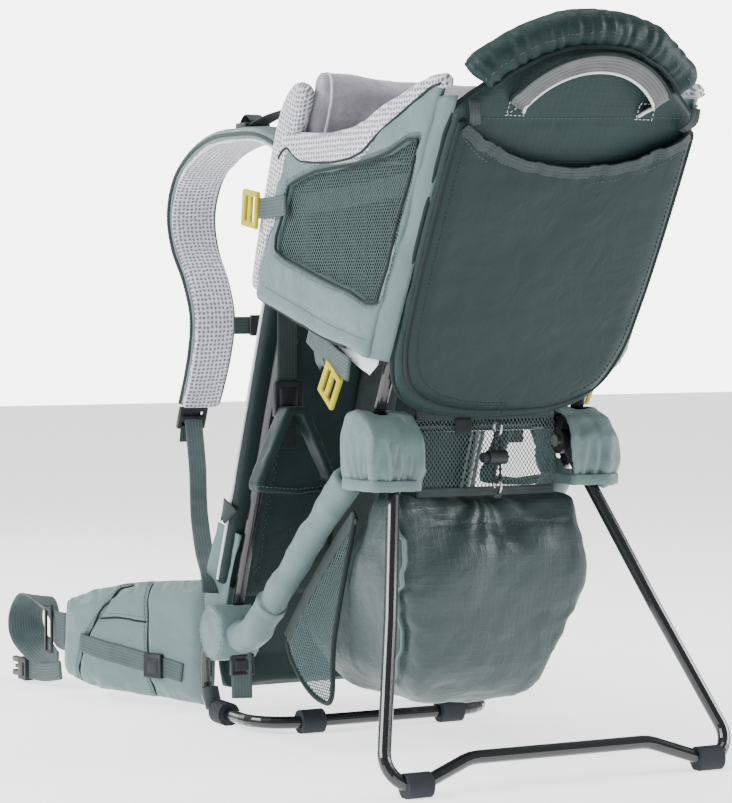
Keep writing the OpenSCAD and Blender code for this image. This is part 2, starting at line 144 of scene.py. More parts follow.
def on_wing(x, y, z):
    """A point of the right side piece, turned inwards to the rear about its front edge."""
    dx, dy = x - WING_X, y - WING_FRONT
    c, s = math.cos(WING_PAN), math.sin(WING_PAN)
    return Vector((WING_X + c * dx + s * dy, WING_FRONT - s * dx + c * dy, z)) * MM


def mm(x, y, z):
    return Vector((x, y, z)) * MM


def smooth(points, n=6):
    """Points of a smooth line through the given points."""
    p = [Vector(q) for q in points]
    out = []
    for i in range(len(p) - 1):
        a, b, c, d = p[max(i - 1, 0)], p[i], p[i + 1], p[min(i + 2, len(p) - 1)]
        for k in range(n):
            t = k / n
            out.append(0.5 * (2 * b + (c - a) * t + (2 * a - 5 * b + 4 * c - d) * t * t
                              + (3 * b - a - 3 * c + d) * t ** 3))
    out.append(p[-1])
    return out


def smooth_flat(points, n=6):
    """The same for the two-number points of an outline."""
    return [tuple(p)[:2] for p in smooth([(a, b, 0) for a, b in points], n)]


def resample(points, step):
    """The same line with points at even distances."""
    p = [Vector(q) for q in points]
    lengths = [0.0]
    for a, b in zip(p, p[1:]):
        lengths.append(lengths[-1] + (b - a).length)
    count = max(2, int(round(lengths[-1] / step)) + 1)
    out = []
    j = 0
    for i in range(count):
        s = lengths[-1] * i / (count - 1)
        while j < len(p) - 2 and lengths[j + 1] < s:
            j += 1
        span = max(lengths[j + 1] - lengths[j], 1e-9)
        out.append(p[j].lerp(p[j + 1], min(max((s - lengths[j]) / span, 0), 1)))
    return out


def arc(cx, cy, r, a0, a1, n=16):
    return [(cx + r * math.cos(math.radians(a0 + (a1 - a0) * i / n)),
             cy + r * math.sin(math.radians(a0 + (a1 - a0) * i / n))) for i in range(n + 1)]


def around(place, n, endpoint=True):
    """Points of a loop, place gives each one from the cosine and sine of its angle."""
    return [place(math.cos(t), math.sin(t)) for t in np.linspace(0, 2 * math.pi, n, endpoint=endpoint)]


def both_halves(points):
    return list(points) + [(-x, z) for x, z in reversed(list(points))]


# ---- Materials ----
class Finish:
    """A procedural material made node by node."""

    def __init__(self, name, base, roughness=0.6, **sockets):
        self.material = bpy.data.materials.new(name)
        self.material.use_nodes = True
        self.material.diffuse_color = (*base, 1)
        self.tree = self.material.node_tree
        self.shader = self.tree.nodes["Principled BSDF"]
        self.shader.inputs["Base Color"].default_value = (*base, 1)
        self.shader.inputs["Roughness"].default_value = roughness
        for key, value in sockets.items():
            self.shader.inputs[key.replace("_", " ")].default_value = value

    def node(self, kind, inputs=None, **settings):
        n = self.tree.nodes.new(kind)
        for key, value in settings.items():
            setattr(n, key, value)
        for key, value in (inputs or {}).items():
            if isinstance(value, bpy.types.NodeSocket):
                self.tree.links.new(value, n.inputs[key])
            else:
                n.inputs[key].default_value = value
        return n

    def coords(self, attribute=None):
        if attribute:
            return self.node("ShaderNodeAttribute", attribute_name=attribute).outputs["Vector"]
        return self.node("ShaderNodeTexCoord").outputs["Object"]

    def noise(self, vector, scale, detail=3.0, rough=0.55, distortion=0.0):
        return self.node("ShaderNodeTexNoise", {"Vector": vector, "Scale": scale, "Detail": detail,
                                                "Roughness": rough, "Distortion": distortion}).outputs["Fac"]

    def wave(self, vector, scale, axis):
        return self.node("ShaderNodeTexWave", {"Vector": vector, "Scale": scale},
                         bands_direction=axis).outputs["Fac"]

    def math(self, operation, a, b):
        return self.node("ShaderNodeMath", {0: a, 1: b}, operation=operation).outputs[0]

    def ramp(self, value, low, high, to_low=0.0, to_high=1.0):
        return self.node("ShaderNodeMapRange", {"Value": value, "From Min": low, "From Max": high,
                                                "To Min": to_low, "To Max": to_high}).outputs[0]

    def mix(self, factor, a, b):
        n = self.node("ShaderNodeMix", data_type="RGBA")
        for key, value in ((0, factor), (6, a), (7, b)):
            if isinstance(value, bpy.types.NodeSocket):
                self.tree.links.new(value, n.inputs[key])
            else:
                n.inputs[key].default_value = value if key == 0 else (*value[:3], 1)
        return n.outputs[2]

    def colour(self, socket):
        self.tree.links.new(socket, self.shader.inputs["Base Color"])

    def rough(self, socket):
        self.tree.links.new(socket, self.shader.inputs["Roughness"])

    def bump(self, height, strength, distance, after=None):
        inputs = {"Height": height, "Strength": strength, "Distance": distance}
        if after is not None:
            inputs["Normal"] = after
        out = self.node("ShaderNodeBump", inputs).outputs["Normal"]
        self.tree.links.new(out, self.shader.inputs["Normal"])
        return out


def shade(base, factor):
    """A darker or lighter shade of a colour."""
    return tuple(min(1.0, c * factor) for c in base)


def cloth(name, base, ripstop=0.0, wrinkle=1.0, roughness=0.42, sheen=0.07, gloss=0.3,
          attribute=None):
    """Coated woven shell fabric: fine weave, optional ripstop grid, soft creases."""
    f = Finish(name, base, roughness, Sheen_Weight=sheen, Sheen_Roughness=0.45,
               Sheen_Tint=(0.75, 0.85, 0.85, 1), Specular_IOR_Level=gloss)
    v = f.coords(attribute)
    large = f.noise(v, 9.0, 4.0, 0.6, 0.4)
    fold = f.noise(v, 34.0, 3.0, 0.55, 1.2)
    grain = f.noise(v, 1300.0, 2.0)
    tone = f.mix(f.ramp(large, 0.3, 0.7), shade(base, 0.86), shade(base, 1.12))
    tone = f.mix(f.ramp(grain, 0.35, 0.65, 0.0, 0.35), tone, shade(base, 1.5))
    weave = f.math("MULTIPLY", f.wave(v, 330.0, "X"), f.wave(v, 330.0, "Z"))
    if ripstop:
        lines = f.math("MAXIMUM", f.ramp(f.wave(v, 52.0, "X"), 0.90, 1.0),
                       f.ramp(f.wave(v, 52.0, "Z"), 0.90, 1.0))
        tone = f.mix(f.math("MULTIPLY", lines, ripstop), tone, shade(base, 1.75))
    f.colour(tone)
    f.rough(f.ramp(large, 0.3, 0.7, roughness - 0.07, roughness + 0.08))
    n = f.bump(fold, 0.35 * wrinkle, 0.004)
    n = f.bump(weave, 0.25, 0.0003, n)
    if ripstop:
        f.bump(lines, 0.4, 0.0003, n)
    return f.material


def spacer_mesh(name, base, attribute="cloth"):
    """Thick air mesh: pale knit with a field of pores, painted dark as the shade inside them."""
    f = Finish(name, base, 0.85, Sheen_Weight=0.4, Sheen_Roughness=0.5)
    v = f.coords(attribute)
    pores = f.node("ShaderNodeTexVoronoi", {"Vector": v, "Scale": 205.0, "Randomness": 0.22},
                   voronoi_dimensions="2D").outputs["Distance"]
    shaded_pore_mask = f.ramp(pores, 0.24, 0.40, 1.0, 0.0)
    tone = f.mix(f.ramp(f.noise(v, 14.0), 0.35, 0.65), shade(base, 0.9), shade(base, 1.08))
    # painted shade: the pore openings take the knit colour at a quarter brightness, standing in for the
    # shade inside the holes
    f.colour(f.mix(shaded_pore_mask, tone, shade(base, 0.26)))
    f.bump(shaded_pore_mask, 0.9, -0.0011, f.bump(f.noise(v, 1500.0), 0.15, 0.0003))
    return f.material


def plush_cloth(name, base):
    f = Finish(name, base, 0.95, Sheen_Weight=0.9, Sheen_Roughness=0.35, Sheen_Tint=(0.9, 0.9, 1.0, 1))
    v = f.coords()
    nap = f.noise(v, 900.0, 4.0, 0.7)
    patch = f.noise(v, 26.0, 3.0, 0.6, 0.8)
    swirl = f.noise(v, 70.0, 4.0, 0.65, 2.0)
    tone = f.mix(f.ramp(patch, 0.35, 0.65), shade(base, 0.80), shade(base, 1.14))
    tone = f.mix(f.ramp(swirl, 0.42, 0.62, 0.0, 0.6), tone, shade(base, 0.72))
    f.colour(f.mix(f.ramp(nap, 0.35, 0.65, 0.0, 0.45), tone, shade(base, 1.4)))
    f.bump(swirl, 0.5, 0.0022, f.bump(patch, 0.3, 0.003, f.bump(nap, 0.6, 0.0008)))
    return f.material


def webbing(name, base, attribute="cloth", sheen=0.08, ribs=95.0):
    """Woven strap: lengthwise ribs, a crosswise weave and paler worn patches."""
    f = Finish(name, base, 0.62, Sheen_Weight=sheen, Sheen_Roughness=0.4, Specular_IOR_Level=0.3)
    v = f.coords(attribute)
    rib = f.wave(v, ribs, "X")
    pick = f.wave(v, 210.0, "Y")
    weave = f.math("MULTIPLY", rib, pick)
    worn = f.noise(v, 40.0, 4.0)
    tone = f.mix(f.ramp(weave, 0.1, 0.9), shade(base, 0.7), shade(base, 1.35))
    f.colour(f.mix(f.ramp(worn, 0.4, 0.75, 0.0, 0.5), tone, shade(base, 1.5)))
    f.bump(weave, 0.6, 0.0005)
    return f.material


def thread(name, base):
    f = Finish(name, base, 0.7, Sheen_Weight=0.04, Specular_IOR_Level=0.2)
    v = f.coords()
    twist = f.noise(v, 2200.0, 2.0)
    f.colour(f.mix(f.ramp(twist, 0.35, 0.65), shade(base, 0.75), shade(base, 1.3)))
    f.bump(twist, 0.4, 0.0002)
    return f.material


def paint(name, base):
    """Powder-coated tube: faint orange peel, scuffs and a clear gloss."""
    f = Finish(name, base, 0.28, Coat_Weight=0.7, Coat_Roughness=0.12, Metallic=0.35)
    v = f.coords()
    scuff = f.noise(v, 60.0, 5.0, 0.7, 1.5)
    f.colour(f.mix(f.ramp(scuff, 0.6, 0.9), base, shade(base, 1.5)))
    f.rough(f.ramp(scuff, 0.45, 0.8, 0.24, 0.32))
    f.bump(f.noise(v, 420.0, 2.0), 0.03, 0.0002)
    return f.material


def moulded(name, base, roughness=0.42, grain=1100.0):
    """Moulded plastic or rubber with a fine spark-eroded grain and paler rubbed spots."""
    f = Finish(name, base, roughness, Specular_IOR_Level=0.3)
    v = f.coords()
    spot = f.noise(v, 55.0, 4.0, 0.6)
    f.colour(f.mix(f.ramp(spot, 0.5, 0.8), base, shade(base, 1.6)))
    f.rough(f.ramp(spot, 0.35, 0.75, roughness - 0.06, roughness + 0.14))
    f.bump(f.noise(v, grain, 2.0), 0.25, 0.0003)
    return f.material


def brushed(name, base):
    f = Finish(name, base, 0.3, Metallic=1.0)
    v = f.node("ShaderNodeMapping", {"Vector": f.coords(), "Scale": (1.0, 1.0, 12.0)}).outputs[0]
    grain = f.noise(v, 160.0, 4.0)
    f.colour(f.mix(grain, shade(base, 0.75), shade(base, 1.2)))
    f.rough(f.ramp(grain, 0.3, 0.7, 0.24, 0.4))
    f.bump(grain, 0.15, 0.0002)
    return f.material


MATERIALS = {}


def make_materials():
    s = finish()
    table = {
        "shell": cloth("silky shell cloth", s.shell),
        "dark": cloth("dark shell cloth", s.dark, wrinkle=0.9, sheen=0.03, gloss=0.14),
        "dark_ripstop": cloth("dark ripstop cloth", shade(s.dark, 1.25), ripstop=0.2, wrinkle=0.8,
                              sheen=0.03, gloss=0.14),
        "bag": cloth("bag cloth", shade(s.shell, 0.35), ripstop=0.10, wrinkle=1.2),
        "spacer": spacer_mesh("spacer mesh", s.spacer),
        "plush": plush_cloth("brushed plush", s.plush),
        "strap": webbing("teal webbing", s.strap),
        "strap_light": webbing("belt webbing", shade(s.shell, 0.56)),
        "reflective": webbing("reflective webbing", s.reflective, sheen=0.15),
        "net": thread("net yarn", shade(s.shell, 0.8)),
        "thread": thread("seam thread", shade(s.shell, 0.7)),
        "thread_dark": thread("dark seam thread", shade(s.dark, 0.55)),
        "piping": thread("piping cord", shade(s.dark, 0.75)),
        "white": thread("pale piping", (0.62, 0.63, 0.65)),
        "cord": thread("elastic cord", (0.016, 0.018, 0.02)),
        "paint": paint("gloss anthracite paint", s.paint),
        "plastic": moulded("matte moulded plastic", s.plastic),
        "rubber": moulded("slate rubber", s.rubber, 0.68, 700.0),
        "yellow": moulded("satin yellow plastic", s.yellow, 0.46),
        "steel": brushed("brushed steel", s.steel),
    }
    MATERIALS.update(table)


# ---- Mesh helpers ----
def link(name, data):
    """A new object of this data, in the scene."""
    o = bpy.data.objects.new(name, data)
    bpy.context.scene.collection.objects.link(o)
    return o


def new_object(name, verts, faces, material):
    mesh = bpy.data.meshes.new(name)
    mesh.from_pydata([tuple(v) for v in verts], [], faces)
    mesh.validate()
    mesh.update()
    o = link(name, mesh)
    mesh.materials.append(MATERIALS[material])
    mesh.polygons.foreach_set("use_smooth", [True] * len(mesh.polygons))
    return o


def select_only(o):
    for other in bpy.context.selected_objects:
        other.select_set(False)
    o.select_set(True)
    bpy.context.view_layer.objects.active = o


def apply_modifier(o, kind, **settings):
    select_only(o)
    m = o.modifiers.new(kind.title(), kind)
    for key, value in settings.items():
        setattr(m, key, value)
    bpy.ops.object.modifier_apply(modifier=m.name)


def coordinates(o):
    co = np.zeros(len(o.data.vertices) * 3)
    o.data.vertices.foreach_get("co", co)
    return co.reshape(-1, 3)


def normals(o):
    n = np.zeros(len(o.data.vertices) * 3)
    o.data.vertices.foreach_get("normal", n)
    return n.reshape(-1, 3)


def set_coordinates(o, co):
    o.data.vertices.foreach_set("co", co.ravel())
    o.data.update()


def attribute(o, name, values):
    """Stores one number or one vector for each point."""
    values = np.asarray(values, np.float32)
    if values.ndim == 1:
        a = o.data.attributes.new(name, "FLOAT", "POINT")
        a.data.foreach_set("value", values)
    else:
        a = o.data.attributes.new(name, "FLOAT_VECTOR", "POINT")
        a.data.foreach_set("vector", values.ravel())


def soften(o, passes):
    """Smooths a piece."""
    apply_modifier(o, "SMOOTH", iterations=passes, factor=0.5)


def inflate(o, cap, pressure=4.0, frames=20):
    """Lets air pressure swell the cloth, each point moving no further than the cap."""
    scene = bpy.context.scene
    rest = coordinates(o)
    select_only(o)
    m = o.modifiers.new("Cloth", "CLOTH")
    m.settings.use_pressure = True
    m.settings.uniform_pressure_force = pressure
    m.settings.effector_weights.gravity = 0
    m.settings.quality = 4
    m.collision_settings.use_collision = False
    m.point_cache.frame_start = 1
    m.point_cache.frame_end = frames
    for step in range(1, frames + 1):
        scene.frame_set(step)
    bpy.ops.object.modifier_apply(modifier=m.name)
    scene.frame_set(1)
    now = coordinates(o)
    move = now - rest
    length = np.linalg.norm(move, axis=1, keepdims=True)
    move *= np.minimum(1.0, cap / np.maximum(length, 1e-9))
    set_coordinates(o, rest + move)


def soft_copy(name, node, material, voxel=None, passes=4, cap=0.0, shrink=0.0, levels=0):
    """A padded piece in the place of a CAD solid, remeshed, swollen and ready for its seams."""
    mesh = NODES[node].data.copy()
    mesh.materials.clear()
    o = link(name, mesh)
    b = bmesh.new()
    b.from_mesh(mesh)
    bmesh.ops.remove_doubles(b, verts=b.verts, dist=1e-5)
    b.to_mesh(mesh)
    b.free()
    apply_modifier(o, "REMESH", mode="VOXEL", voxel_size=voxel or sizes().voxel)
    if passes:
        soften(o, passes)
    if shrink:
        set_coordinates(o, coordinates(o) - normals(o) * shrink)
    if cap:
        inflate(o, cap)
        soften(o, 1)
    if levels:
        apply_modifier(o, "SUBSURF", levels=levels, render_levels=levels)
    o.data.materials.clear()
    o.data.materials.append(MATERIALS[material])
    o.data.polygons.foreach_set("use_smooth", [True] * len(o.data.polygons))
    return o


def line_distance(co, path):
    """Distance of each point from a line of points, and how far along the line it lies."""
    best = np.full(len(co), 1e9)
    along = np.zeros(len(co))
    s = 0.0
    pts = [np.array(p, float) for p in path]
    for a, b in zip(pts, pts[1:]):
        d = b - a
        size2 = float(d @ d)
        if size2 < 1e-14:
            continue
        t = np.clip(((co - a) @ d) / size2, 0, 1)
        dist = np.linalg.norm(co - (a + t[:, None] * d), axis=1)
        closer = dist < best
        best[closer] = dist[closer]
        along[closer] = s + t[closer] * math.sqrt(size2)
        s += math.sqrt(size2)
    return best, along


def groove(o, path, width, depth):
    """Presses a seam into a padded piece along a line near its surface."""
    co = coordinates(o)
    d, _ = line_distance(co, path)
    fall = np.exp(-(d / width) ** 2)
    set_coordinates(o, co - normals(o) * (depth * fall)[:, None])


def crease(o, amplitude, scale, stretch=(1, 1, 1), seed=0.0, power=1.0):
    """Soft folds from stretched noise."""
    co = coordinates(o)
    n = normals(o)
    k = Vector(stretch) * scale
    shift = Vector((seed, seed * 1.7, seed * 0.6))
    h = np.array([noise.fractal(Vector((p[0] * k[0], p[1] * k[1], p[2] * k[2])) + shift, 1.0, 2.0, 3)
                  for p in co])
    h = np.sign(h) * np.abs(h) ** power
    set_coordinates(o, co + n * (amplitude * h)[:, None])


def creases(o, *folds):
    """Several sets of folds, each with the settings of crease."""
    for fold in folds:
        crease(o, *fold)


def gathers(o, path, spacing, amplitude, reach):
    """Ruched folds that run away from a drawn seam."""
    co = coordinates(o)
    d, along = line_distance(co, path)
    h = np.sin(along * 2 * math.pi / spacing + 1.3 * np.sin(along * 2 * math.pi / spacing * 0.37))
    set_coordinates(o, co + normals(o) * (amplitude * h * np.exp(-(d / reach) ** 2))[:, None])


def surface(o):
    """A tree of the faces of a piece, to find the nearest point of it."""
    return BVHTree.FromPolygons([v.co.copy() for v in o.data.vertices],
                                [tuple(p.vertices) for p in o.data.polygons])


def laid_on(tree, points, lift):
    """The points moved to the surface and lifted off it, with the normals there."""
    out, up = [], []
    for p in points:
        where, normal, _, _ = tree.find_nearest(p)
        out.append(where + normal * lift)
        up.append(normal)
    return out, up


def tube(name, path, radius, material, sides=8, closed=False, flat=1.0):
    """A round cord or piping swept along a line."""
    pts = [Vector(p) for p in path]
    n = len(pts)
    verts, faces = [], []
    side = None
    for i, p in enumerate(pts):
        a = pts[(i - 1) % n] if closed else pts[max(i - 1, 0)]
        b = pts[(i + 1) % n] if closed else pts[min(i + 1, n - 1)]
        d = (b - a).normalized()
        if side is None:
            side = d.orthogonal().normalized()
        side = (side - d * side.dot(d)).normalized()
        other = d.cross(side)
        for k in range(sides):
            t = 2 * math.pi * k / sides
            verts.append(p + (side * math.cos(t) + other * math.sin(t) * flat) * radius)
    rows = n if closed else n - 1
    for i in range(rows):
        for k in range(sides):
            a, b = i * sides + k, i * sides + (k + 1) % sides
            c, d = ((i + 1) % n) * sides + (k + 1) % sides, ((i + 1) % n) * sides + k
            faces.append((a, b, c, d))
    if not closed:
        faces.append(tuple(reversed(range(sides))))
        faces.append(tuple((n - 1) * sides + k for k in range(sides)))
    o = new_object(name, verts, faces, material)
    step = (pts[1] - pts[0]).length
    attribute(o, "cloth", [(k * 2 * math.pi / sides * radius, i * step, 0)
                           for i in range(n) for k in range(sides)])
    return o


def ribbon(name, path, across, width, thick, material, step=0.004, crown=0.0):
    """Webbing along a line: a flat band with rolled edges and its own cloth coordinates."""
    pts = resample(path, step)
    n = len(pts)
    single = not isinstance(across, (list, tuple)) or isinstance(across[0], (int, float))
    profile = [(-0.5, 0.0), (-0.47, 0.42), (-0.4, 0.5), (-0.2, 0.5), (0.0, 0.5), (0.2, 0.5), (0.4, 0.5),
               (0.47, 0.42), (0.5, 0.0), (0.47, -0.42), (0.4, -0.5), (0.2, -0.5), (0.0, -0.5), (-0.2, -0.5),
               (-0.4, -0.5), (-0.47, -0.42)]
    m = len(profile)
    verts, faces, cloth_at = [], [], []
    run = 0.0
    for i, p in enumerate(pts):
        d = (pts[min(i + 1, n - 1)] - pts[max(i - 1, 0)]).normalized()
        if single:
            w = Vector(across)
        else:
            t = i / (n - 1) * (len(across) - 1)
            j = min(int(t), len(across) - 2)
            w = Vector(across[j]).lerp(Vector(across[j + 1]), t - j)
        w = (w - d * w.dot(d)).normalized()
        up = d.cross(w)
        if i:
            run += (p - pts[i - 1]).length
        wide = width(i / (n - 1)) if callable(width) else width
        for u, h in profile:
            verts.append(p + w * (u * wide) + up * (h * thick + crown * (1 - 4 * u * u)))
            cloth_at.append((u * wide + (0.01 if h < 0 else 0), run, 0))
    for i in range(n - 1):
        for k in range(m):
            a, b = i * m + k, i * m + (k + 1) % m
            faces.append((a, a + m, b + m, b))
    faces.append(tuple(range(m)))
    faces.append(tuple((n - 1) * m + k for k in reversed(range(m))))
    o = new_object(name, verts, faces, material)
    attribute(o, "cloth", cloth_at)
    return o


def hard_copy(name, node, material, bevel=0.0006, segments=2):
    """A moulded piece in the place of its CAD solid, with its edges rounded."""
    mesh = NODES[node].data.copy()
    mesh.materials.clear()
    mesh.materials.append(MATERIALS[material])
    o = link(name, mesh)
    b = bmesh.new()
    b.from_mesh(mesh)
    bmesh.ops.remove_doubles(b, verts=b.verts, dist=1e-6)
    bmesh.ops.dissolve_limit(b, angle_limit=math.radians(1), verts=b.verts, edges=b.edges)
    b.to_mesh(mesh)
    b.free()
    apply_modifier(o, "BEVEL", width=bevel, segments=segments, limit_method="ANGLE",
                   angle_limit=math.radians(40), use_clamp_overlap=True)
    apply_modifier(o, "TRIANGULATE")
    select_only(o)
    bpy.ops.object.shade_smooth_by_angle(angle=SHARP_ANGLE)
    return o


def stitches(name, host, path, material="thread", lift=0.0001, length=None, radius=0.00042, tree=None):
    """A row of stitches laid on a piece along a line."""
    tree = tree or surface(host)
    length = length or sizes().stitch
    pitch = length + sizes().stitch_gap
    spots, ups = laid_on(tree, resample(path, pitch), lift)
    verts, faces = [], []
    for i in range(len(spots) - 1):
        d = (spots[i + 1] - spots[i])
        if d.length < 1e-6 or d.length > 2.5 * pitch:
            continue
        d.normalize()
        up = ups[i]
        w = d.cross(up).normalized()
        c = spots[i]
        base = len(verts)
        for t, r in ((-0.5, 0.3), (-0.25, 1.0), (0.25, 1.0), (0.5, 0.3)):
            for a, b in ((1, -0.4), (0.5, 0.9), (-0.5, 0.9), (-1, -0.4)):
                verts.append(c + d * (t * length) + (w * a + up * b) * (radius * r))
        for j in range(3):
            for k in range(4):
                p, q = base + j * 4 + k, base + j * 4 + (k + 1) % 4
                faces.append((p, q, q + 4, p + 4))
        faces.append((base + 3, base + 2, base + 1, base))
        faces.append((base + 12, base + 13, base + 14, base + 15))
    return new_object(name, verts, faces, material)


def piping(name, host, path, material="piping", radius=None, lift=0.0, step=0.004, closed=False, tree=None):
    """A corded edge laid on a piece along a line."""
    radius = radius or sizes().piping
    pts, _ = laid_on(tree or surface(host), resample(path, step), lift)
    for _ in range(2):
        pts = [pts[0]] + [(pts[i - 1] + pts[i] * 2 + pts[i + 1]) / 4
                          for i in range(1, len(pts) - 1)] + [pts[-1]]
    return tube(name, pts, radius, material, closed=closed)


def inside(p, outline):
    """Whether a point lies within an outline."""
    hit = False
    for (x0, y0), (x1, y1) in zip(outline, list(outline[1:]) + [outline[0]]):
        if (y0 > p[1]) != (y1 > p[1]) and p[0] < (x1 - x0) * (p[1] - y0) / (y1 - y0) + x0:
            hit = not hit
    return hit


def edge_distance(points, outline):
    """Distance of each point from the edge of an outline."""
    co = np.column_stack([points, np.zeros(len(points))])
    path = [(x, y, 0.0) for x, y in outline] + [(outline[0][0], outline[0][1], 0.0)]
    return line_distance(co, path)[0]


def fill_outline(outline, step, roll, holes=()):
    """Evenly spaced points and triangles that fill an outline in millimetres, and each point's
    distance from the nearest edge."""
    rings = [even_ring(r, step) for r in (outline, *holes)]
    main = rings[0]
    xs, ys = [p[0] for p in main], [p[1] for p in main]

    def within(p):
        return inside(p, main) and not any(inside(p, r) for r in rings[1:])

    def distance(points):
        return np.min([edge_distance(np.asarray(points), r) for r in rings], axis=0)
    grid = []
    y, row = min(ys) + step / 2, 0
    while y < max(ys):
        x = min(xs) + (step / 2 if row % 2 else 0)
        while x < max(xs):
            if within((x, y)):
                grid.append((x, y))
            x += step
        y += step * 0.87
        row += 1
    points, edges = [], []
    for r in rings:
        start = len(points)
        edges += [(start + i, start + (i + 1) % len(r)) for i in range(len(r))]
        points += r
    for t in (0.12, 0.3, 0.6):
        for i, r in enumerate(rings):
            near = inset_ring(r, roll * t * (1 if i == 0 else -1))
            if near:
                d = distance(near)
                points += [q for q, e in zip(near, d) if e > roll * t * 0.93 and within(q)]
    if grid:
        points += [g for g, d in zip(grid, distance(grid)) if d > roll * 0.6 + step * 0.55]
    out, _, tris, _, _, _ = delaunay_2d_cdt([Vector(p) for p in points], edges, [], 0, 1e-4)
    pts = np.array([tuple(p) for p in out])
    tris = [t for t in tris if within(pts[list(t)].mean(0))]
    return pts, tris, distance(pts)


def even_ring(outline, step):
    """The closed outline with evenly spaced points, its corners kept."""
    ring = [Vector((x, y, 0)) for x, y in outline]
    ring.append(ring[0].copy())
    corners = [0]
    for i in range(1, len(ring) - 1):
        u, v = (ring[i] - ring[i - 1]), (ring[i + 1] - ring[i])
        if u.length > 1e-6 and v.length > 1e-6 and u.angle(v) > 0.6:
            corners.append(i)
    corners.append(len(ring) - 1)
    out = []
    for a, b in zip(corners, corners[1:]):
        out += [(p.x, p.y) for p in resample(ring[a:b + 1], step)[:-1]]
    return out


def pillow(name, outline, place, low, high, material, roll=8.0, step=5.0, belly=0.0, holes=(), shape=None):
    """A padded panel from its outline in millimetres. place(u, v, w) gives the point at the height w,
    low and high are the two faces' heights, and the edge is rolled over the given width."""
    pts, tris, d = fill_outline(outline, step, roll, holes)
    rise = np.sqrt(np.clip(1 - (1 - np.clip(d / roll, 0, 1)) ** 2, 0, 1))
    mid = (low + high) / 2
    top = mid + (high - mid) * rise + belly * np.clip(d / max(d.max(), 1e-6), 0, 1) ** 0.6
    bottom = mid + (low - mid) * rise
    if shape is not None:
        top = top + shape(pts, d) * rise
    verts = [place(p[0], p[1], h) for p, h in zip(pts, top)]
    under = []
    for i in range(len(pts)):
        if d[i] > 1e-3:
            under.append(len(verts))
            verts.append(place(pts[i][0], pts[i][1], bottom[i]))
        else:
            under.append(i)
    faces = [tuple(t) for t in tris]
    faces += [f for f in (tuple(under[i] for i in reversed(t)) for t in tris) if len(set(f)) == 3]
    o = new_object(name, verts, faces, material)
    outward(o)
    lie = [((p[0] + 0.9 * (h - mid)) * MM, (p[1] + 0.5 * (h - mid)) * MM, 0) for p, h in zip(pts, top)]
    back = [((p[0] + 0.9 * (h - mid)) * MM, (p[1] + 0.5 * (h - mid)) * MM, 0) for p, h in zip(pts, bottom)]
    attribute(o, "cloth", lie + [back[i] for i in range(len(pts)) if d[i] > 1e-3])
    return o


def outward(o):
    """Turns the faces of a closed piece outwards."""
    b = bmesh.new()
    b.from_mesh(o.data)
    bmesh.ops.recalc_face_normals(b, faces=b.faces)
    b.to_mesh(o.data)
    b.free()


def cloth_panel(name, outline, place, height, material, thick=1.6, step=5.0, roll=8.0, out=1):
    """One layer of cloth over an outline, at the height that a function of the points gives."""
    pts, tris, _ = fill_outline(outline, step, roll)
    h = height(pts)
    verts = [place(p[0], p[1], w) for p, w in zip(pts, h)]
    o = new_object(name, verts, [tuple(t) for t in tris], material)
    n = o.data.polygons[0].normal
    want = (place(0, 0, 1.0 * out) - place(0, 0, 0)).normalized()
    if n.dot(want) < 0:
        o.data.flip_normals()
    attribute(o, "cloth", [(p[0] * MM, p[1] * MM, 0) for p in pts])
    apply_modifier(o, "SOLIDIFY", thickness=thick * MM, offset=-1)
    return o


def inset_ring(ring, distance):
    """The outline moved inwards, without the points that would cross at tight corners."""
    n = len(ring)
    area = sum(ring[i][0] * ring[(i + 1) % n][1] - ring[(i + 1) % n][0] * ring[i][1] for i in range(n))
    turn = 1 if area > 0 else -1
    out = []
    for i in range(n):
        a, b = Vector(ring[i - 1]), Vector(ring[(i + 1) % n])
        d = (b - a).normalized()
        q = Vector(ring[i]) + Vector((-d.y, d.x)) * (distance * turn)
        out.append((q.x, q.y))
    d = edge_distance(np.array(out), ring)
    return [p for p, e in zip(out, d) if e > distance * 0.93 and inside(p, ring)]


def net(name, outline, place, material="net", cell=None, yarn=0.0009):
    """A coarse net with real openings, laid over an outline in millimetres."""
    cell = (cell or sizes().net_cell) / MM
    xs, ys = [p[0] for p in outline], [p[1] for p in outline]
    verts, faces, index = [], [], {}

    def corner(i, j):
        if (i, j) not in index:
            u = cx + (i - j) * cell * 0.5
            v = cy + (i + j) * cell * 0.72
            index[i, j] = len(verts)
            verts.append(place(u, v))
        return index[i, j]
    cx, cy = (min(xs) + max(xs)) / 2, (min(ys) + max(ys)) / 2
    reach = int(max(max(xs) - min(xs), max(ys) - min(ys)) / cell * 1.6) + 2
    for i in range(-reach, reach):
        for j in range(-reach, reach):
            u = cx + (i - j) * cell * 0.5
            v = cy + (i + j + 1) * cell * 0.72
            if inside((u, v), outline):
                faces.append((corner(i, j), corner(i + 1, j), corner(i + 1, j + 1), corner(i, j + 1)))
    o = new_object(name, verts, faces, material)
    apply_modifier(o, "WIREFRAME", thickness=yarn, use_even_offset=False, use_replace=True)
    return o


def add(o, body, slot, *nodes, padded=None):
    """Puts a finished piece on its body and hides the CAD solids that it stands for; its slot is not used.
    """
    if body:
        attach(o, body)
    if nodes:
        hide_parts(*nodes)
    return o


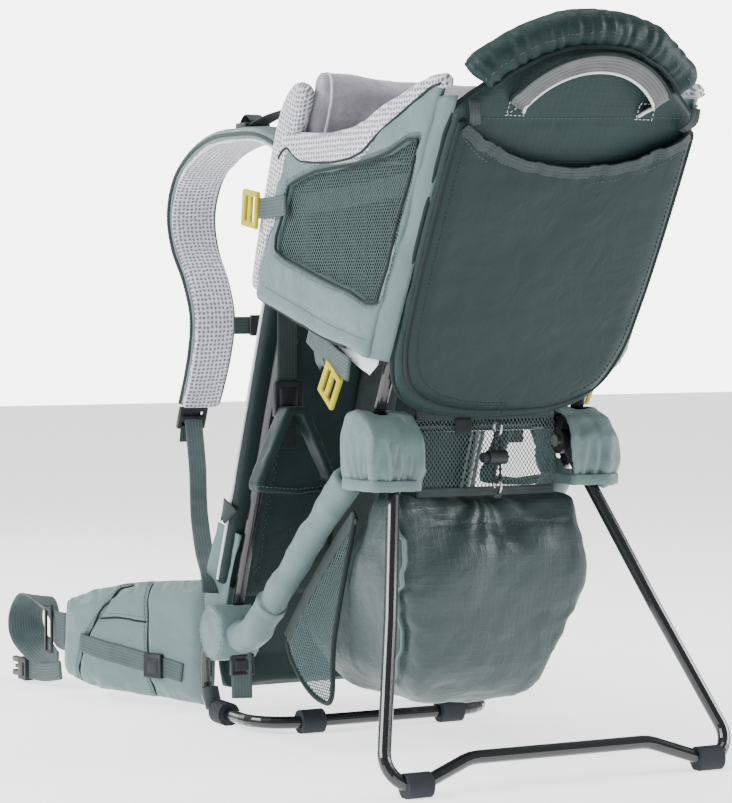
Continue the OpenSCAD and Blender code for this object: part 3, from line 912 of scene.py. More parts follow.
def moulded_plate(name, at, dims, turn=0.0, material="plastic"):
    """A ladder slider drawn from a block: rounded, then inset and sunk on its broad faces."""
    bpy.ops.object.select_all(action="DESELECT")
    bpy.ops.mesh.primitive_cube_add(size=1, location=at)
    o = bpy.context.active_object
    o.name = name
    o.scale = dims
    o.rotation_euler.z = math.radians(turn)
    bpy.ops.object.transform_apply(location=False, rotation=False, scale=True)
    thin = min(range(3), key=lambda i: dims[i])
    bpy.ops.object.mode_set(mode="EDIT")
    bpy.ops.mesh.select_all(action="SELECT")
    bpy.ops.mesh.bevel(offset=dims[thin] * 0.22, segments=3, affect="EDGES")
    bpy.ops.mesh.select_all(action="DESELECT")
    b = bmesh.from_edit_mesh(o.data)
    largest = max(f.calc_area() for f in b.faces)
    for f in b.faces:
        f.select = abs(f.normal[thin]) > 0.9 and f.calc_area() > largest * 0.8
    bmesh.update_edit_mesh(o.data)
    bpy.ops.mesh.inset(thickness=min(d for i, d in enumerate(dims) if i != thin) * 0.13,
                       depth=-dims[thin] * 0.2)
    bpy.ops.mesh.inset(thickness=min(d for i, d in enumerate(dims) if i != thin) * 0.10,
                       depth=dims[thin] * 0.25)
    bpy.ops.object.mode_set(mode="OBJECT")
    bpy.ops.object.transform_apply(location=True, rotation=True, scale=True)
    o.data.materials.append(MATERIALS[material])
    bpy.ops.object.shade_smooth_by_angle(angle=SHARP_ANGLE)
    return o


class Piece(bpy.types.Operator):
    """Adds one group of pieces to the carrier"""
    bl_idname = "carrier.piece"
    bl_label = "Carrier piece"
    bl_options = {"REGISTER", "UNDO"}

    def build(self):
        raise NotImplementedError

    def execute(self, context):
        if not MATERIALS:
            make_materials()
        self.build()
        return {"FINISHED"}


def dress(material, slot_name=None, *nodes):
    """Gives CAD solids that keep their shape their finish."""
    for n in nodes:
        o = NODES[n]
        o.data.materials.clear()
        o.data.materials.append(MATERIALS[material])


CAMERA_AT = (-1.3320, -2.5846, 0.4579)
CAMERA_TILT, CAMERA_PAN = 2.253, -27.41
LENS, SENSOR = 121.67, 36
SKY_LIGHT, SKY_SEEN = 0.36, 6.0
FLOOR_GREY, FLOOR_GLOW = 0.93, 1.5
# name, place, aim, size in metres, power in watts
LIGHTS = (("key", (-2.3, 0.1, 1.5), (0, 0, 0.35), 1.3, 84),
          ("rim", (2.0, -1.1, 1.0), (0, -0.1, 0.35), 0.9, 44),
          ("top", (0.1, -0.2, 2.6), (0, 0, 0.3), 1.6, 34),
          ("front", (-0.6, 2.0, 1.2), (0, 0, 0.3), 1.4, 24))


class CARRIER_OT_stage(Piece):
    """Adds the camera, the pale floor and the soft studio light"""
    bl_idname = "carrier.stage"
    bl_label = "Stage and camera"

    def build(self):
        scene = bpy.context.scene
        cam = bpy.data.cameras.new("Camera")
        cam.lens = LENS
        cam.sensor_width = SENSOR
        cam.clip_end = 50
        o = link("Camera", cam)
        o.location = CAMERA_AT
        o.rotation_euler = (math.radians(90 - CAMERA_TILT), 0, math.radians(CAMERA_PAN))
        scene.camera = o
        world = bpy.data.worlds.new("Studio")
        world.use_nodes = True
        sky = world.node_tree
        sky.nodes["Background"].inputs[0].default_value = (1, 1, 1, 1)
        path = sky.nodes.new("ShaderNodeLightPath")
        level = sky.nodes.new("ShaderNodeMapRange")
        level.inputs["To Min"].default_value = SKY_LIGHT
        level.inputs["To Max"].default_value = SKY_SEEN
        sky.links.new(path.outputs["Is Camera Ray"], level.inputs["Value"])
        sky.links.new(level.outputs[0], sky.nodes["Background"].inputs[1])
        scene.world = world
        floor = bpy.data.meshes.new("floor")
        floor.from_pydata([(-8, -8, 0), (8, -8, 0), (8, 8, 0), (-8, 8, 0)], [], [(0, 1, 2, 3)])
        ground = link("floor", floor)
        m = bpy.data.materials.new("pale floor")
        m.use_nodes = True
        for key, value in (("Base Color", (FLOOR_GREY, FLOOR_GREY, FLOOR_GREY, 1)),
                           ("Emission Color", (1, 1, 1, 1)),
                           ("Emission Strength", FLOOR_GLOW),
                           ("Roughness", 0.9)):
            m.node_tree.nodes["Principled BSDF"].inputs[key].default_value = value
        floor.materials.append(m)
        for name, at, aim, width, power in LIGHTS:
            light = bpy.data.lights.new(name, "AREA")
            light.energy = power
            light.size = width
            lamp = link(name, light)
            lamp.location = at
            lamp.rotation_euler = (Vector(aim) - Vector(at)).to_track_quat("-Z", "Y").to_euler()


class CARRIER_OT_frame(Piece):
    """Finishes the tubes, hubs, brackets, pins and feet, with webbing bands on them"""
    bl_idname = "carrier.frame"
    bl_label = "Frame and kickstand"

    def build(self):
        dress("paint", "tube", "floor_loop_tube", "back_frame_tube", "diagonal_tubes",
              "rear_cross_tube", "rear_hoop_tube", "kickstand_tube")
        dress("steel", "steel", "pivot_pins", "d_rings")
        dress("plastic", "hard_plastic", "hub_joints", "kickstand_brackets", "kickstand_lugs")
        dress("rubber", "rubber", "front_feet", "kickstand_feet", "cord_lock_button")
        dress("plastic", "hard_plastic", "cord_lock_body")
        dress("cord", "cord", "drawcord")
        for side, tag in SIDES:
            spot = mm(side * 140, 74, 24)
            d = Vector((0, 0.45, 0.9)).normalized()
            loop = [spot - d * 0.011, spot + d * 0.011]
            o = tube(f"tube_wrap_{tag}", loop, 0.0088, "strap", 24)
            add(o, "frame", "webbing")


HEAD_CENTRE = 269


def head_arc(radius, start=36, end=144, n=40):
    """Points of an arc about the centre of the headrest, across and up the rear panel."""
    return arc(0, HEAD_CENTRE, radius, start, end, n)


REAR_HALF = smooth_flat([(0, 0), (60, 4), (104, 22), (124, 60), (128, 120), (130, 200), (131, 300)], 4)
REAR_OUTLINE = both_halves(REAR_HALF + [(128, 330)] + head_arc(130, 49, 90, 12))
HEM = [(126, 322), (112, 309), (100, 300), (76, 289), (50, 281), (25, 277), (0, 275)]


class CARRIER_OT_rear_panel(Piece):
    """Adds the padded rear panel, its stretch pocket with elastic hem, the seams and the grab handle"""
    bl_idname = "carrier.rear_panel"
    bl_label = "Rear panel and pocket"

    def build(self):
        body = BODY_OF["rear_panel"]
        panel = pillow("rear_panel_padding", REAR_OUTLINE, rear_face, 9, -9, "dark_ripstop", roll=9,
                       belly=-2)
        crease(panel, 0.0012, 22, (1, 1, 0.7), 3.0)
        add(panel, body, "dark_fabric", "rear_panel", padded=0.8)
        low = smooth_flat([(0, 13), (56, 17), (99, 35), (119, 70), (126, 130), (128, 230), (127, 318)], 5)
        pocket_half = low + smooth_flat(HEM, 3)[1:]
        open_edge = both_halves(low)

        def height(pts):
            path = [(x, z, 0) for x, z in low]
            path = path + [(-x, z, 0) for x, z in reversed(low)]
            sides, _ = line_distance(np.column_stack([pts, np.zeros(len(pts))]), path)
            rise = np.sqrt(np.clip(1 - (1 - np.clip(sides / 20, 0, 1)) ** 2, 0, 1))
            h = 10.3 + 9.5 * rise + 4 * np.clip(sides / 120, 0, 1) ** 0.7
            fold = np.array([noise.fractal(Vector((x * 0.011 + 5, z * 0.02, 0.3)), 1.0, 2.0, 3)
                             for x, z in pts])
            fine = np.array([noise.noise(Vector((x * 0.05, z * 0.09, 1.7))) for x, z in pts])
            near_hem = np.exp(-((np.interp(np.abs(pts[:, 0]), [p[0] for p in reversed(HEM)],
                                           [p[1] for p in reversed(HEM)]) - pts[:, 1]) / 16) ** 2)
            pleat = np.sin(pts[:, 0] / 3.4 + 2 * np.sin(pts[:, 0] / 21))
            bottom_pleat = np.sin(pts[:, 0] / 6.5 + 1.5 * np.sin(pts[:, 0] / 17))
            bottom_pleat = bottom_pleat * np.exp(-(sides / 16) ** 2)
            return -(h + 1.8 * fold * rise + 0.5 * fine * rise + 0.45 * near_hem * pleat
                     + 0.7 * bottom_pleat * np.clip(sides / 4, 0, 1))
        pocket = cloth_panel("rear_pocket_cloth", both_halves(pocket_half), rear_face, height, "dark",
                             out=-1)
        add(pocket, body, "dark_fabric", "rear_pocket")
        tree = surface(pocket)
        hem_line = [on_rear(x, -30, z) for x, z in HEM]
        hem_line = smooth(hem_line + [on_rear(-x, -30, z) for x, z in reversed(HEM[:-1])], 4)
        hem_line, _ = laid_on(tree, resample(hem_line, 0.005), 0.0012)
        binding = ribbon("rear_pocket_hem", hem_line, [on_rear(0, 0, 1) - on_rear(0, 0, 0)] * 2, 0.011,
                         0.0026, "strap", crown=0.0004)
        co = coordinates(binding)
        ruche = np.sin(co[:, 0] / 0.0009) * 0.00022
        set_coordinates(binding, co + normals(binding) * ruche[:, None])
        add(binding, body, "webbing")
        add(piping("pocket_edge_piping", pocket, [on_rear(x, -14, z) for x, z in open_edge], lift=0.0006,
                   tree=tree), body, "dark_fabric")
        inner = [(x * 0.94, 9 + z * 0.985 + 4) for x, z in low]
        add(stitches("pocket_side_stitches", pocket, [on_rear(x, -20, z) for x, z in both_halves(inner)],
                     "thread_dark", tree=tree), body, "dark_fabric")
        for i, drop in enumerate((3, 9)):
            line = [on_rear(x, -20, z - drop - 4) for x, z in HEM]
            line += [on_rear(-x, -20, z - drop - 4) for x, z in reversed(HEM[:-1])]
            add(stitches(f"pocket_hem_stitches_{i}", pocket, line, "thread", tree=tree), body,
                "dark_fabric")
        tree = surface(panel)
        seam = [on_rear(x, -12, 322 + 3 * math.sin(x / 60)) for x in range(-124, 125, 6)]
        groove(panel, laid_on(tree, seam, 0)[0], 0.0022, 0.0016)
        add(stitches("head_seam_stitches", panel, [p + Vector((0, 0, 0.004)) for p in seam], "thread",
                     tree=tree), body, "dark_fabric")
        edge = [on_rear(x, 0, z) for x, z in REAR_OUTLINE]
        rim = tube("rear_panel_edge_piping", resample(edge + [edge[0]], 0.004)[:-1], 0.0024, "piping",
                   closed=True)
        add(rim, body, "dark_fabric")
        r = 92
        arch = [on_rear(x, -24 - 3 * math.cos(x / 60), z) for x, z in arc(0, 296, r, 36, 144, 40)]
        start = [on_rear(70, -10, 334), on_rear(73, -17, 343)]
        end = [on_rear(-73, -17, 343), on_rear(-70, -10, 334)]
        line = start + arch + end
        centre = on_rear(0, -24, 296)
        across = [(p - centre).normalized() for p in line]
        handle = ribbon("grab_handle_webbing", line, across, 0.017, 0.0032, "reflective", crown=0.0008)
        add(handle, body, "grey_webbing", "grab_handle")
        for k, gap in enumerate((0.0088, -0.0088)):
            pts = [p + a * gap for p, a in zip(line, across)]
            add(tube(f"grab_handle_edge_{k}", resample(pts, 0.005), 0.0017, "white" if k else "piping"),
                body, "grey_webbing")
        for side, tag in SIDES:
            tack = [on_rear(side * 70 + dx, -12.5, 333 + dz) for dx, dz in
                   ((-9, -7), (9, -7), (9, 9), (-9, 9), (-9, -7), (9, 9))]
            add(stitches(f"handle_bar_tack_{tag}", panel, tack, "white", tree=tree, lift=0.0006), body,
                "grey_webbing")
            loop = [on_rear(side * 112, -16, 318), on_rear(side * 118, -21, 330),
                    on_rear(side * 120, -16, 342)]
            add(ribbon(f"pocket_pull_loop_{tag}", smooth(loop), (1, 0, 0), 0.010, 0.0016, "strap"), body,
                "webbing")


class CARRIER_OT_headrest(Piece):
    """Adds the ruched headrest roll and the plush front cushion"""
    bl_idname = "carrier.headrest"
    bl_label = "Headrest and front cushion"

    def build(self):
        roll = soft_copy("headrest_roll_padding", "headrest_roll", "dark_ripstop", cap=0.005, levels=1)
        line = [on_rear(x, -12, z) for x, z in head_arc(137)]
        outer = [on_rear(x, -6, z) for x, z in head_arc(156)]
        crease(roll, 0.0016, 26, (1, 1, 1), 7.0)
        gathers(roll, line, 0.013, 0.0011, 0.016)
        gathers(roll, outer, 0.017, 0.0009, 0.014)
        groove(roll, [on_rear(x, -14, z) for x, z in head_arc(124)], 0.003, 0.002)
        body = BODY_OF["headrest_roll"]
        add(roll, body, "shell_fabric", "headrest_roll", padded=0.85)
        tree = surface(roll)
        inner = [on_rear(x, -20, z) for x, z in head_arc(126, 38, 142, 60)]
        add(piping("headrest_piping", roll, inner, "piping", lift=0.0006, tree=tree), body, "shell_fabric")
        crown = [on_rear(x, -20, z) for x, z in head_arc(146, 38, 142, 60)]
        add(stitches("headrest_stitches", roll, crown, tree=tree), body, "shell_fabric")
        cushion = soft_copy("front_cushion_padding", "front_cushion", "plush", cap=0.008, shrink=0.001,
                            levels=1)
        wide = coordinates(cushion)
        wide[:, 0] *= 1.27
        set_coordinates(cushion, wide)
        creases(cushion, (0.0035, 9, (1, 1, 1.6), 2.0),
                (0.0009, 40, (1, 1, 1), 5.0))
        body = BODY_OF["front_cushion"]
        for x in (-78, 78):
            groove(cushion, around(lambda c, s: on_back(x, -24 + 16 * c, 625 + 42 * s), 24), 0.004, 0.0022)
        add(cushion, body, "plush", "front_cushion", padded=0.9)
        tree = surface(cushion)
        for side, tag in SIDES:
            x = side * 129
            loop = around(lambda c, s: on_back(x, -24 + 18 * c, 625 + 44 * s), 40)
            add(piping(f"cushion_end_seam_{tag}", cushion, loop, "white", radius=0.0014, tree=tree), body,
                "plush")


WING_OUTLINE = smooth_flat([(-78, 456), (-100, 520), (-140, 611), (-165, 616), (-225, 612), (-285, 617),
                            (-335, 634), (-420, 655)], 5)
WING_BOTTOM = smooth_flat([(-255, 408), (-207, 418), (-116, 445), (-78, 456)], 4)
WINDOW = smooth_flat([(-152, 566), (-136, 532), (-124, 503), (-170, 487), (-225, 472), (-272, 461),
                      (-323, 452), (-360, 524), (-398, 600), (-345, 590), (-290, 582), (-205, 578),
                      (-152, 566)], 2)[:-1]


def rear_line(z, n):
    """How far to the front a point of the rear panel lies at a height, moved n forward."""
    return REAR_FOOT[0] - (z - REAR_FOOT[1]) * math.tan(math.radians(REAR_LEAN)) + n


class CARRIER_OT_wings(Piece):
    """Adds the two padded side pieces with their mesh windows, pale rim lining, straps and rings"""
    bl_idname = "carrier.wings"
    bl_label = "Side wings"

    def one(self, side, tag):
        def place(u, v, w):
            p = on_wing(WING_X + w, u, v)
            return Vector((p.x * side, p.y, p.z))
        body = BODY_OF["wing_left"]
        outline = WING_OUTLINE + [(rear_line(655, 14), 655), (rear_line(398, 14), 398)] + WING_BOTTOM[:-1]
        wing = pillow(f"wing_{tag}_padding", outline, place, -5.5, 5.5, "shell", roll=6, holes=[WINDOW])
        creases(wing, (0.0030, 10, (1, 1, 2.0), 4.0 + side),
                (0.0006, 45, (1, 1, 1), 1.0))
        tree = surface(wing)
        lower = [(-98, 470), (-160, 452), (-215, 436), (-268, 424), (-302, 418)]
        seam = [tree.find_nearest(place(y, z, 6))[0] for y, z in smooth_flat(lower, 6)]
        groove(wing, seam, 0.0025, 0.0016)
        front = smooth_flat([(-96, 492), (-112, 530), (-150, 586)], 8)
        groove(wing, [tree.find_nearest(place(y, z, 6))[0] for y, z in front], 0.0025, 0.0012)
        add(wing, body, "shell_fabric", f"wing_{tag}", padded=0.7)
        tree = surface(wing)
        add(stitches(f"wing_{tag}_lower_stitches", wing, [p + Vector((0, 0, -0.003)) for p in seam],
                     tree=tree), body, "shell_fabric")
        add(stitches(f"wing_{tag}_front_stitches", wing, [place(y - 3, z, 8) for y, z in front], tree=tree),
            body, "shell_fabric")
        top = [p for p in WING_OUTLINE if p[1] > 606 and p[0] < -138] + [(rear_line(655, 13), 655)]
        top = [(-128, 597)] + top
        drop = [np.interp(-y, (128, 175, 300, 450), (8, 30, 30, 8)) for y, z in top]
        low = [(y - 2, z - d) for (y, z), d in zip(top, drop)]
        top = [(y, z + 2.5) for y, z in top]
        rim = pillow(f"wing_{tag}_rim_lining", top + list(reversed(low)), place, -9.5, 8.5, "spacer",
                     roll=8, step=4)
        crease(rim, 0.0016, 18, (1, 1, 1), 9.0)
        add(rim, body, "spacer_mesh", padded=0.8)
        rim_tree = surface(rim)
        edge = [place(y, z + 1, 10) for y, z in low]
        add(piping(f"wing_{tag}_rim_seam", rim, edge, "piping", radius=0.0013, tree=rim_tree), body,
            "spacer_mesh")
        add(net(f"wing_{tag}_window_net", WINDOW, lambda u, v: place(u, v, 0), yarn=0.0012), body, "net",
            f"wing_mesh_{tag}")
        ring = WINDOW + [WINDOW[0]]
        for k, w in enumerate((6, -6)):
            pts = resample([place(y, z, w) for y, z in ring], 0.004)[:-1]
            add(tube(f"wing_{tag}_window_binding_{k}", pts, 0.0015, "piping", closed=True), body, "net")
        outset = [(y + (3 if y > -230 else -4), z + (4 if z > 530 else -4)) for y, z in ring]
        add(stitches(f"wing_{tag}_window_stitches", wing, [place(y, z, 8) for y, z in outset], tree=tree),
            body, "shell_fabric")
        bottom = [place(y, z, 0) for y, z in WING_BOTTOM]
        add(piping(f"wing_{tag}_bottom_piping", wing, bottom, tree=tree, lift=0.0005), body, "shell_fabric")
        upper = [place(-96, 545, 9.0), place(-112, 545, 8.0), place(-130, 546, 7.6), place(-149, 547, 7.4)]
        inner = [place(-146, 547, -8), place(-200, 550, -9), place(-270, 554, -9), place(-370, 562, -8)]
        add(ribbon(f"wing_{tag}_inner_strap", smooth(inner), (0, 0, 1), 0.021, 0.0018, "strap_light"), body,
            "webbing")
        tack = [place(-146, 538 + k, 10) for k in range(0, 19, 2)]
        add(stitches(f"wing_{tag}_bar_tack", wing, tack, "white", tree=tree, lift=0.0034, radius=0.0007),
            body, "webbing")
        o = ribbon(f"wing_{tag}_upper_strap", smooth(upper), (0, 0, 1), 0.021, WEB_THICK, "strap_light")
        add(o, body, "webbing", *(["wing_straps"] if side < 0 else []))
        x = side * 146
        low_strap = [(x, -176, 421), (x, -200, 409), (x, -222, 399), (x, -240, 392), (x, -262, 386)]
        o = ribbon(f"wing_{tag}_lower_strap", smooth([mm(*p) for p in low_strap]), (0, 0.4, 0.9), 0.024,
                   0.0026, "strap_light")
        add(o, body, "webbing")
        fold = [(x, -203, 421), (x, -199, 404), (x * 0.985, -202, 388), (x * 0.97, -207, 404),
                (x * 0.97, -210, 421)]
        o = ribbon(f"wing_{tag}_strap_fold", smooth([mm(*p) for p in fold]), (0, 1, 0.1), 0.024, 0.0024,
                   "strap_light")
        add(o, body, "webbing")
        rows, cols = 44, 8
        verts, faces, at = [], [], []
        for i in range(rows + 1):
            up = 62 + (340 - 62) * i / rows
            a = on_rear(128.5, -2, up)
            z = a.z / MM
            b = on_wing(WING_X, rear_line(z, 14) + 8, min(max(z, 400), 655))
            for j in range(cols + 1):
                t = j / cols
                p = a.lerp(b, t) + Vector((0.004 * math.sin(t * math.pi), -0.002 * math.sin(t * math.pi),
                                           0))
                verts.append(Vector((p.x * side, p.y, p.z)))
                at.append((t * 0.03, up * MM, 0))
        for i in range(rows):
            for j in range(cols):
                q = i * (cols + 1) + j
                quad = (q, q + 1, q + cols + 2, q + cols + 1)
                faces.append(quad if side > 0 else tuple(reversed(quad)))
        gusset = new_object(f"wing_{tag}_gusset", verts, faces, "shell")
        attribute(gusset, "cloth", at)
        crease(gusset, 0.0022, 30, (1, 1, 0.8), 5.0)
        apply_modifier(gusset, "SOLIDIFY", thickness=0.0016, offset=0)
        add(gusset, body, "shell_fabric", padded=0.1)
        patch = [(-214, 424), (-262, 414), (-304, 404), (-304, 392), (-286, 380), (-250, 392), (-220, 406)]
        o = pillow(f"wing_{tag}_lining_patch", patch, lambda u, v, w: Vector((side * (136 + w), u, v)) * MM,
                   -1.5, 1.5, "white", roll=2)
        crease(o, 0.003, 24, (1, 1, 1), 3.0)
        add(o, body, "shell_fabric", padded=0.1)

    def build(self):
        for side, tag in SIDES:
            self.one(side, tag)
        rings = hard_copy("adjuster_rings_moulded", "adjuster_rings", "yellow", bevel=0.0021, segments=4)
        add(rings, BODY_OF["adjuster_rings"], "yellow_plastic", "adjuster_rings")


class CARRIER_OT_cockpit(Piece):
    """Adds the seat, the harness pads with their buckle, and the footrest stirrups"""
    bl_idname = "carrier.cockpit"
    bl_label = "Seat, harness and stirrups"

    def build(self):
        outline = both_halves([(34, -102), (36, -150), (60, -178), (86, -196), (88, -262)])
        seat = pillow("seat_padding", outline, lambda u, v, w: mm(u, v, w), 416, 440, "dark", roll=11,
                      belly=2.5)
        crease(seat, 0.001, 30, (1, 1, 1), 6.0)
        body = BODY_OF["seat"]
        for x in (-28, 28):
            groove(seat, [mm(x, y, 441) for y in range(-255, -105, 5)], 0.003, 0.0022)
        add(seat, body, "dark_fabric", "seat", padded=0.8)
        tree = surface(seat)
        for side, tag in SIDES:
            x = side * 28
            add(stitches(f"seat_stitches_{tag}", seat, [mm(x, y, 445) for y in range(-255, -105, 5)],
                         tree=tree), body, "dark_fabric")
        add(piping("seat_piping", seat, [mm(x, y, 437) for x, y in outline] + [mm(34, -102, 437)],
                   tree=tree), body, "dark_fabric")
        strap = smooth([mm(0, -150, 441.5), mm(0, -158, 476), mm(0, -171, 507)])
        add(ribbon("crotch_strap_padded", strap, (1, 0, 0), 0.030, 0.004, "strap", crown=0.001), body,
            "webbing", "crotch_strap")
        buckle = hard_copy("harness_buckle_moulded", "harness_buckle", "plastic", 0.002, 3)
        add(buckle, body, "hard_plastic", "harness_buckle")
        body = BODY_OF["harness_pads"]
        line = smooth([mm(0, rear_line(606, 13.5), 606), mm(0, -395, 628), mm(0, -335, 640),
                       mm(0, -270, 612), mm(0, -215, 560)])
        for side, tag in SIDES:
            path = [p + mm(side * 46, 0, 0) for p in line]
            pad = ribbon(f"harness_pad_{tag}", path, (1, 0, 0), lambda t: 0.038 - 0.008 * t, 0.009,
                         "spacer", crown=0.0012)
            add(pad, body, "dark_fabric", *(["harness_pads"] if side < 0 else []), padded=0.7)
            tail = smooth([mm(side * 46, -216, 561), mm(side * 30, -196, 542), mm(side * 14, -186, 528)])
            add(ribbon(f"harness_tail_{tag}", tail, (side * 0.5, 0, 0.85), 0.018, 0.0016, "strap"), body,
                "webbing")
        for side, tag in SIDES:
            x = side * 134
            strap = ribbon(f"stirrup_{tag}_webbing", [mm(x, -100, 301), mm(x, -100, 380), mm(x, -100, 451)],
                           (1, 0, 0), 0.022, 0.002, "strap")
            add(strap, BODY_OF[f"stirrup_strap_{tag}"], "webbing", f"stirrup_strap_{tag}")
            body = BODY_OF[f"stirrup_loop_{tag}"]
            loop = soft_copy(f"stirrup_{tag}_loop", f"stirrup_loop_{tag}", "dark", voxel=0.0022, passes=5)
            crease(loop, 0.0006, 60, (1, 1, 1), 2.0)
            add(loop, body, "dark_fabric", f"stirrup_loop_{tag}", padded=0.6)
            tree = surface(loop)
            line = [mm(x + dx, y, z) for dx, y, z in ((-44, -128, 266), (0, -128, 262), (44, -128, 266))]
            add(stitches(f"stirrup_{tag}_stitches", loop, line, tree=tree), body, "dark_fabric")
            add(moulded_plate(f"stirrup_{tag}_slider", mm(x, -101.5, 352), (0.032, 0.0075, 0.036)), body,
                "hard_plastic")


class CARRIER_OT_back_system(Piece):
    """Adds the back panel with its front padding, the lumbar pad and the shoulder yoke"""
    bl_idname = "carrier.back_system"
    bl_label = "Back system"

    def build(self):
        outline = both_halves([(110, 70), (146, 90), (146, 560), (136, 590), (112, 606), (70, 610)])
        body = BODY_OF["back_panel"]
        back = pillow("back_panel_padding", outline, back_face, -9, 7.5, "dark", roll=8)
        crease(back, 0.0014, 14, (1, 1, 1), 8.0)
        for x in (-104, 104):
            groove(back, [on_back(x, -9, z) for z in range(95, 600, 8)], 0.0030, 0.0018)
        add(back, body, "dark_fabric", "back_panel", padded=0.7)
        tree = surface(back)
        for side, tag in SIDES:
            x = side * 104
            add(stitches(f"back_panel_stitches_{tag}", back,
                         [on_back(x, -12, z) for z in range(95, 600, 8)], tree=tree), body, "dark_fabric")
            column = [(x - 32, 110), (x + 32, 110), (x + 34, 300), (x + 32, 450), (x - 32, 450),
                      (x - 34, 300)]
            column = smooth_flat(column + [column[0]], 5)[:-1]
            pad = pillow(f"back_contact_pad_{tag}", column, back_face, 6.5, 12, "spacer", roll=6, belly=1.5)
            add(pad, body, "spacer_mesh", padded=0.8)
            corner = [(-8, 425), (16, 425), (20, 520), (17, 600), (0, 640), (-24, 648), (-32, 632),
                      (-22, 560)]
            corner = smooth_flat(corner + [corner[0]], 5)[:-1]
            edge = pillow(f"back_panel_edge_strip_{tag}", corner,
                          lambda u, v, w, side=side: on_back(side * (147 + w), u, v), -7, 12, "spacer",
                          roll=12, step=4)
            add(edge, body, "spacer_mesh", padded=0.8)
            outer = [on_back(side * 146, -1, z) for z in range(92, 430, 6)]
            add(tube(f"back_panel_edge_piping_{tag}", outer, 0.0019, "white"), body,
                "dark_fabric")
            tab = smooth([on_back(side * 141, 2, 150), on_back(side * 143, 3, 100), mm(side * 143, 56, 132),
                          mm(side * 142, 52, 112)])
            o = ribbon(f"hub_tab_{tag}", tab, (side * 0.35, 0.93, 0), 0.036, 0.003, "shell", crown=0.001)
            crease(o, 0.0022, 30, (1, 1, 1), 4.0)
            add(o, body, "shell_fabric")
            post = smooth([mm(side * 131, 20, 84), mm(side * 130, 20, 60), mm(side * 129, 21, 30)])
            add(ribbon(f"base_webbing_{tag}", post, (side * 0.9, 0.44, 0), 0.022, WEB_THICK, "strap_light"),
                body, "webbing")
            add(moulded_plate(f"base_webbing_{tag}_slider", mm(side * 130, 19, 66), (0.027, 0.0062, 0.022)),
                body, "hard_plastic")
        strap = [on_back(0, -11.2, z) for z in range(120, 560, 10)]
        add(ribbon("height_strap", strap, (1, 0, 0), 0.048, WEB_THICK, "strap"), body, "webbing")
        for side, tag in SIDES:
            web = [on_back(side * 146, -8, 168), on_back(side * 149.5, -2, 172),
                   on_back(side * 150, 5, 172), on_back(side * 147, 10, 168)]
            add(ribbon(f"compression_webbing_{tag}", smooth(web), (0, -0.35, 0.93), 0.024, 0.002, "strap"),
                body, "webbing")
        lumbar = soft_copy("lumbar_pad_padding", "lumbar_pad", "dark", voxel=0.005, cap=0.006)
        lumbar.data.materials.append(MATERIALS["spacer"])
        for f in lumbar.data.polygons:
            f.material_index = 1 if f.normal.y > 0.35 and abs(f.center.x) < 0.104 else 0
        attribute(lumbar, "cloth", coordinates(lumbar)[:, [0, 2, 1]])
        for z in (90, 145):
            groove(lumbar, [mm(x, 124 if z < 100 else 102, z + 8 * math.sin(x / 40))
                            for x in range(-112, 113, 8)], 0.006, 0.003)
        add(lumbar, BODY_OF["lumbar_pad"], "shell_fabric", "lumbar_pad", padded=0.9)
        yoke_outline = both_halves([(40, 478), (108, 520), (116, 560), (60, 556)])
        yoke = pillow("shoulder_yoke_padding", yoke_outline, back_face, 12.4, 16, "dark", roll=3)
        crease(yoke, 0.0006, 40, (1, 1, 1), 2.0)
        add(yoke, BODY_OF["shoulder_yoke"], "dark_fabric", "shoulder_yoke", padded=0.5)


PAD_PATH = [(-97, 574), (-60, 604), (0, 625), (63, 629), (120, 627), (175, 613), (222, 588), (246, 550),
            (240, 510), (213, 470), (200, 430), (214, 385), (243, 335)]


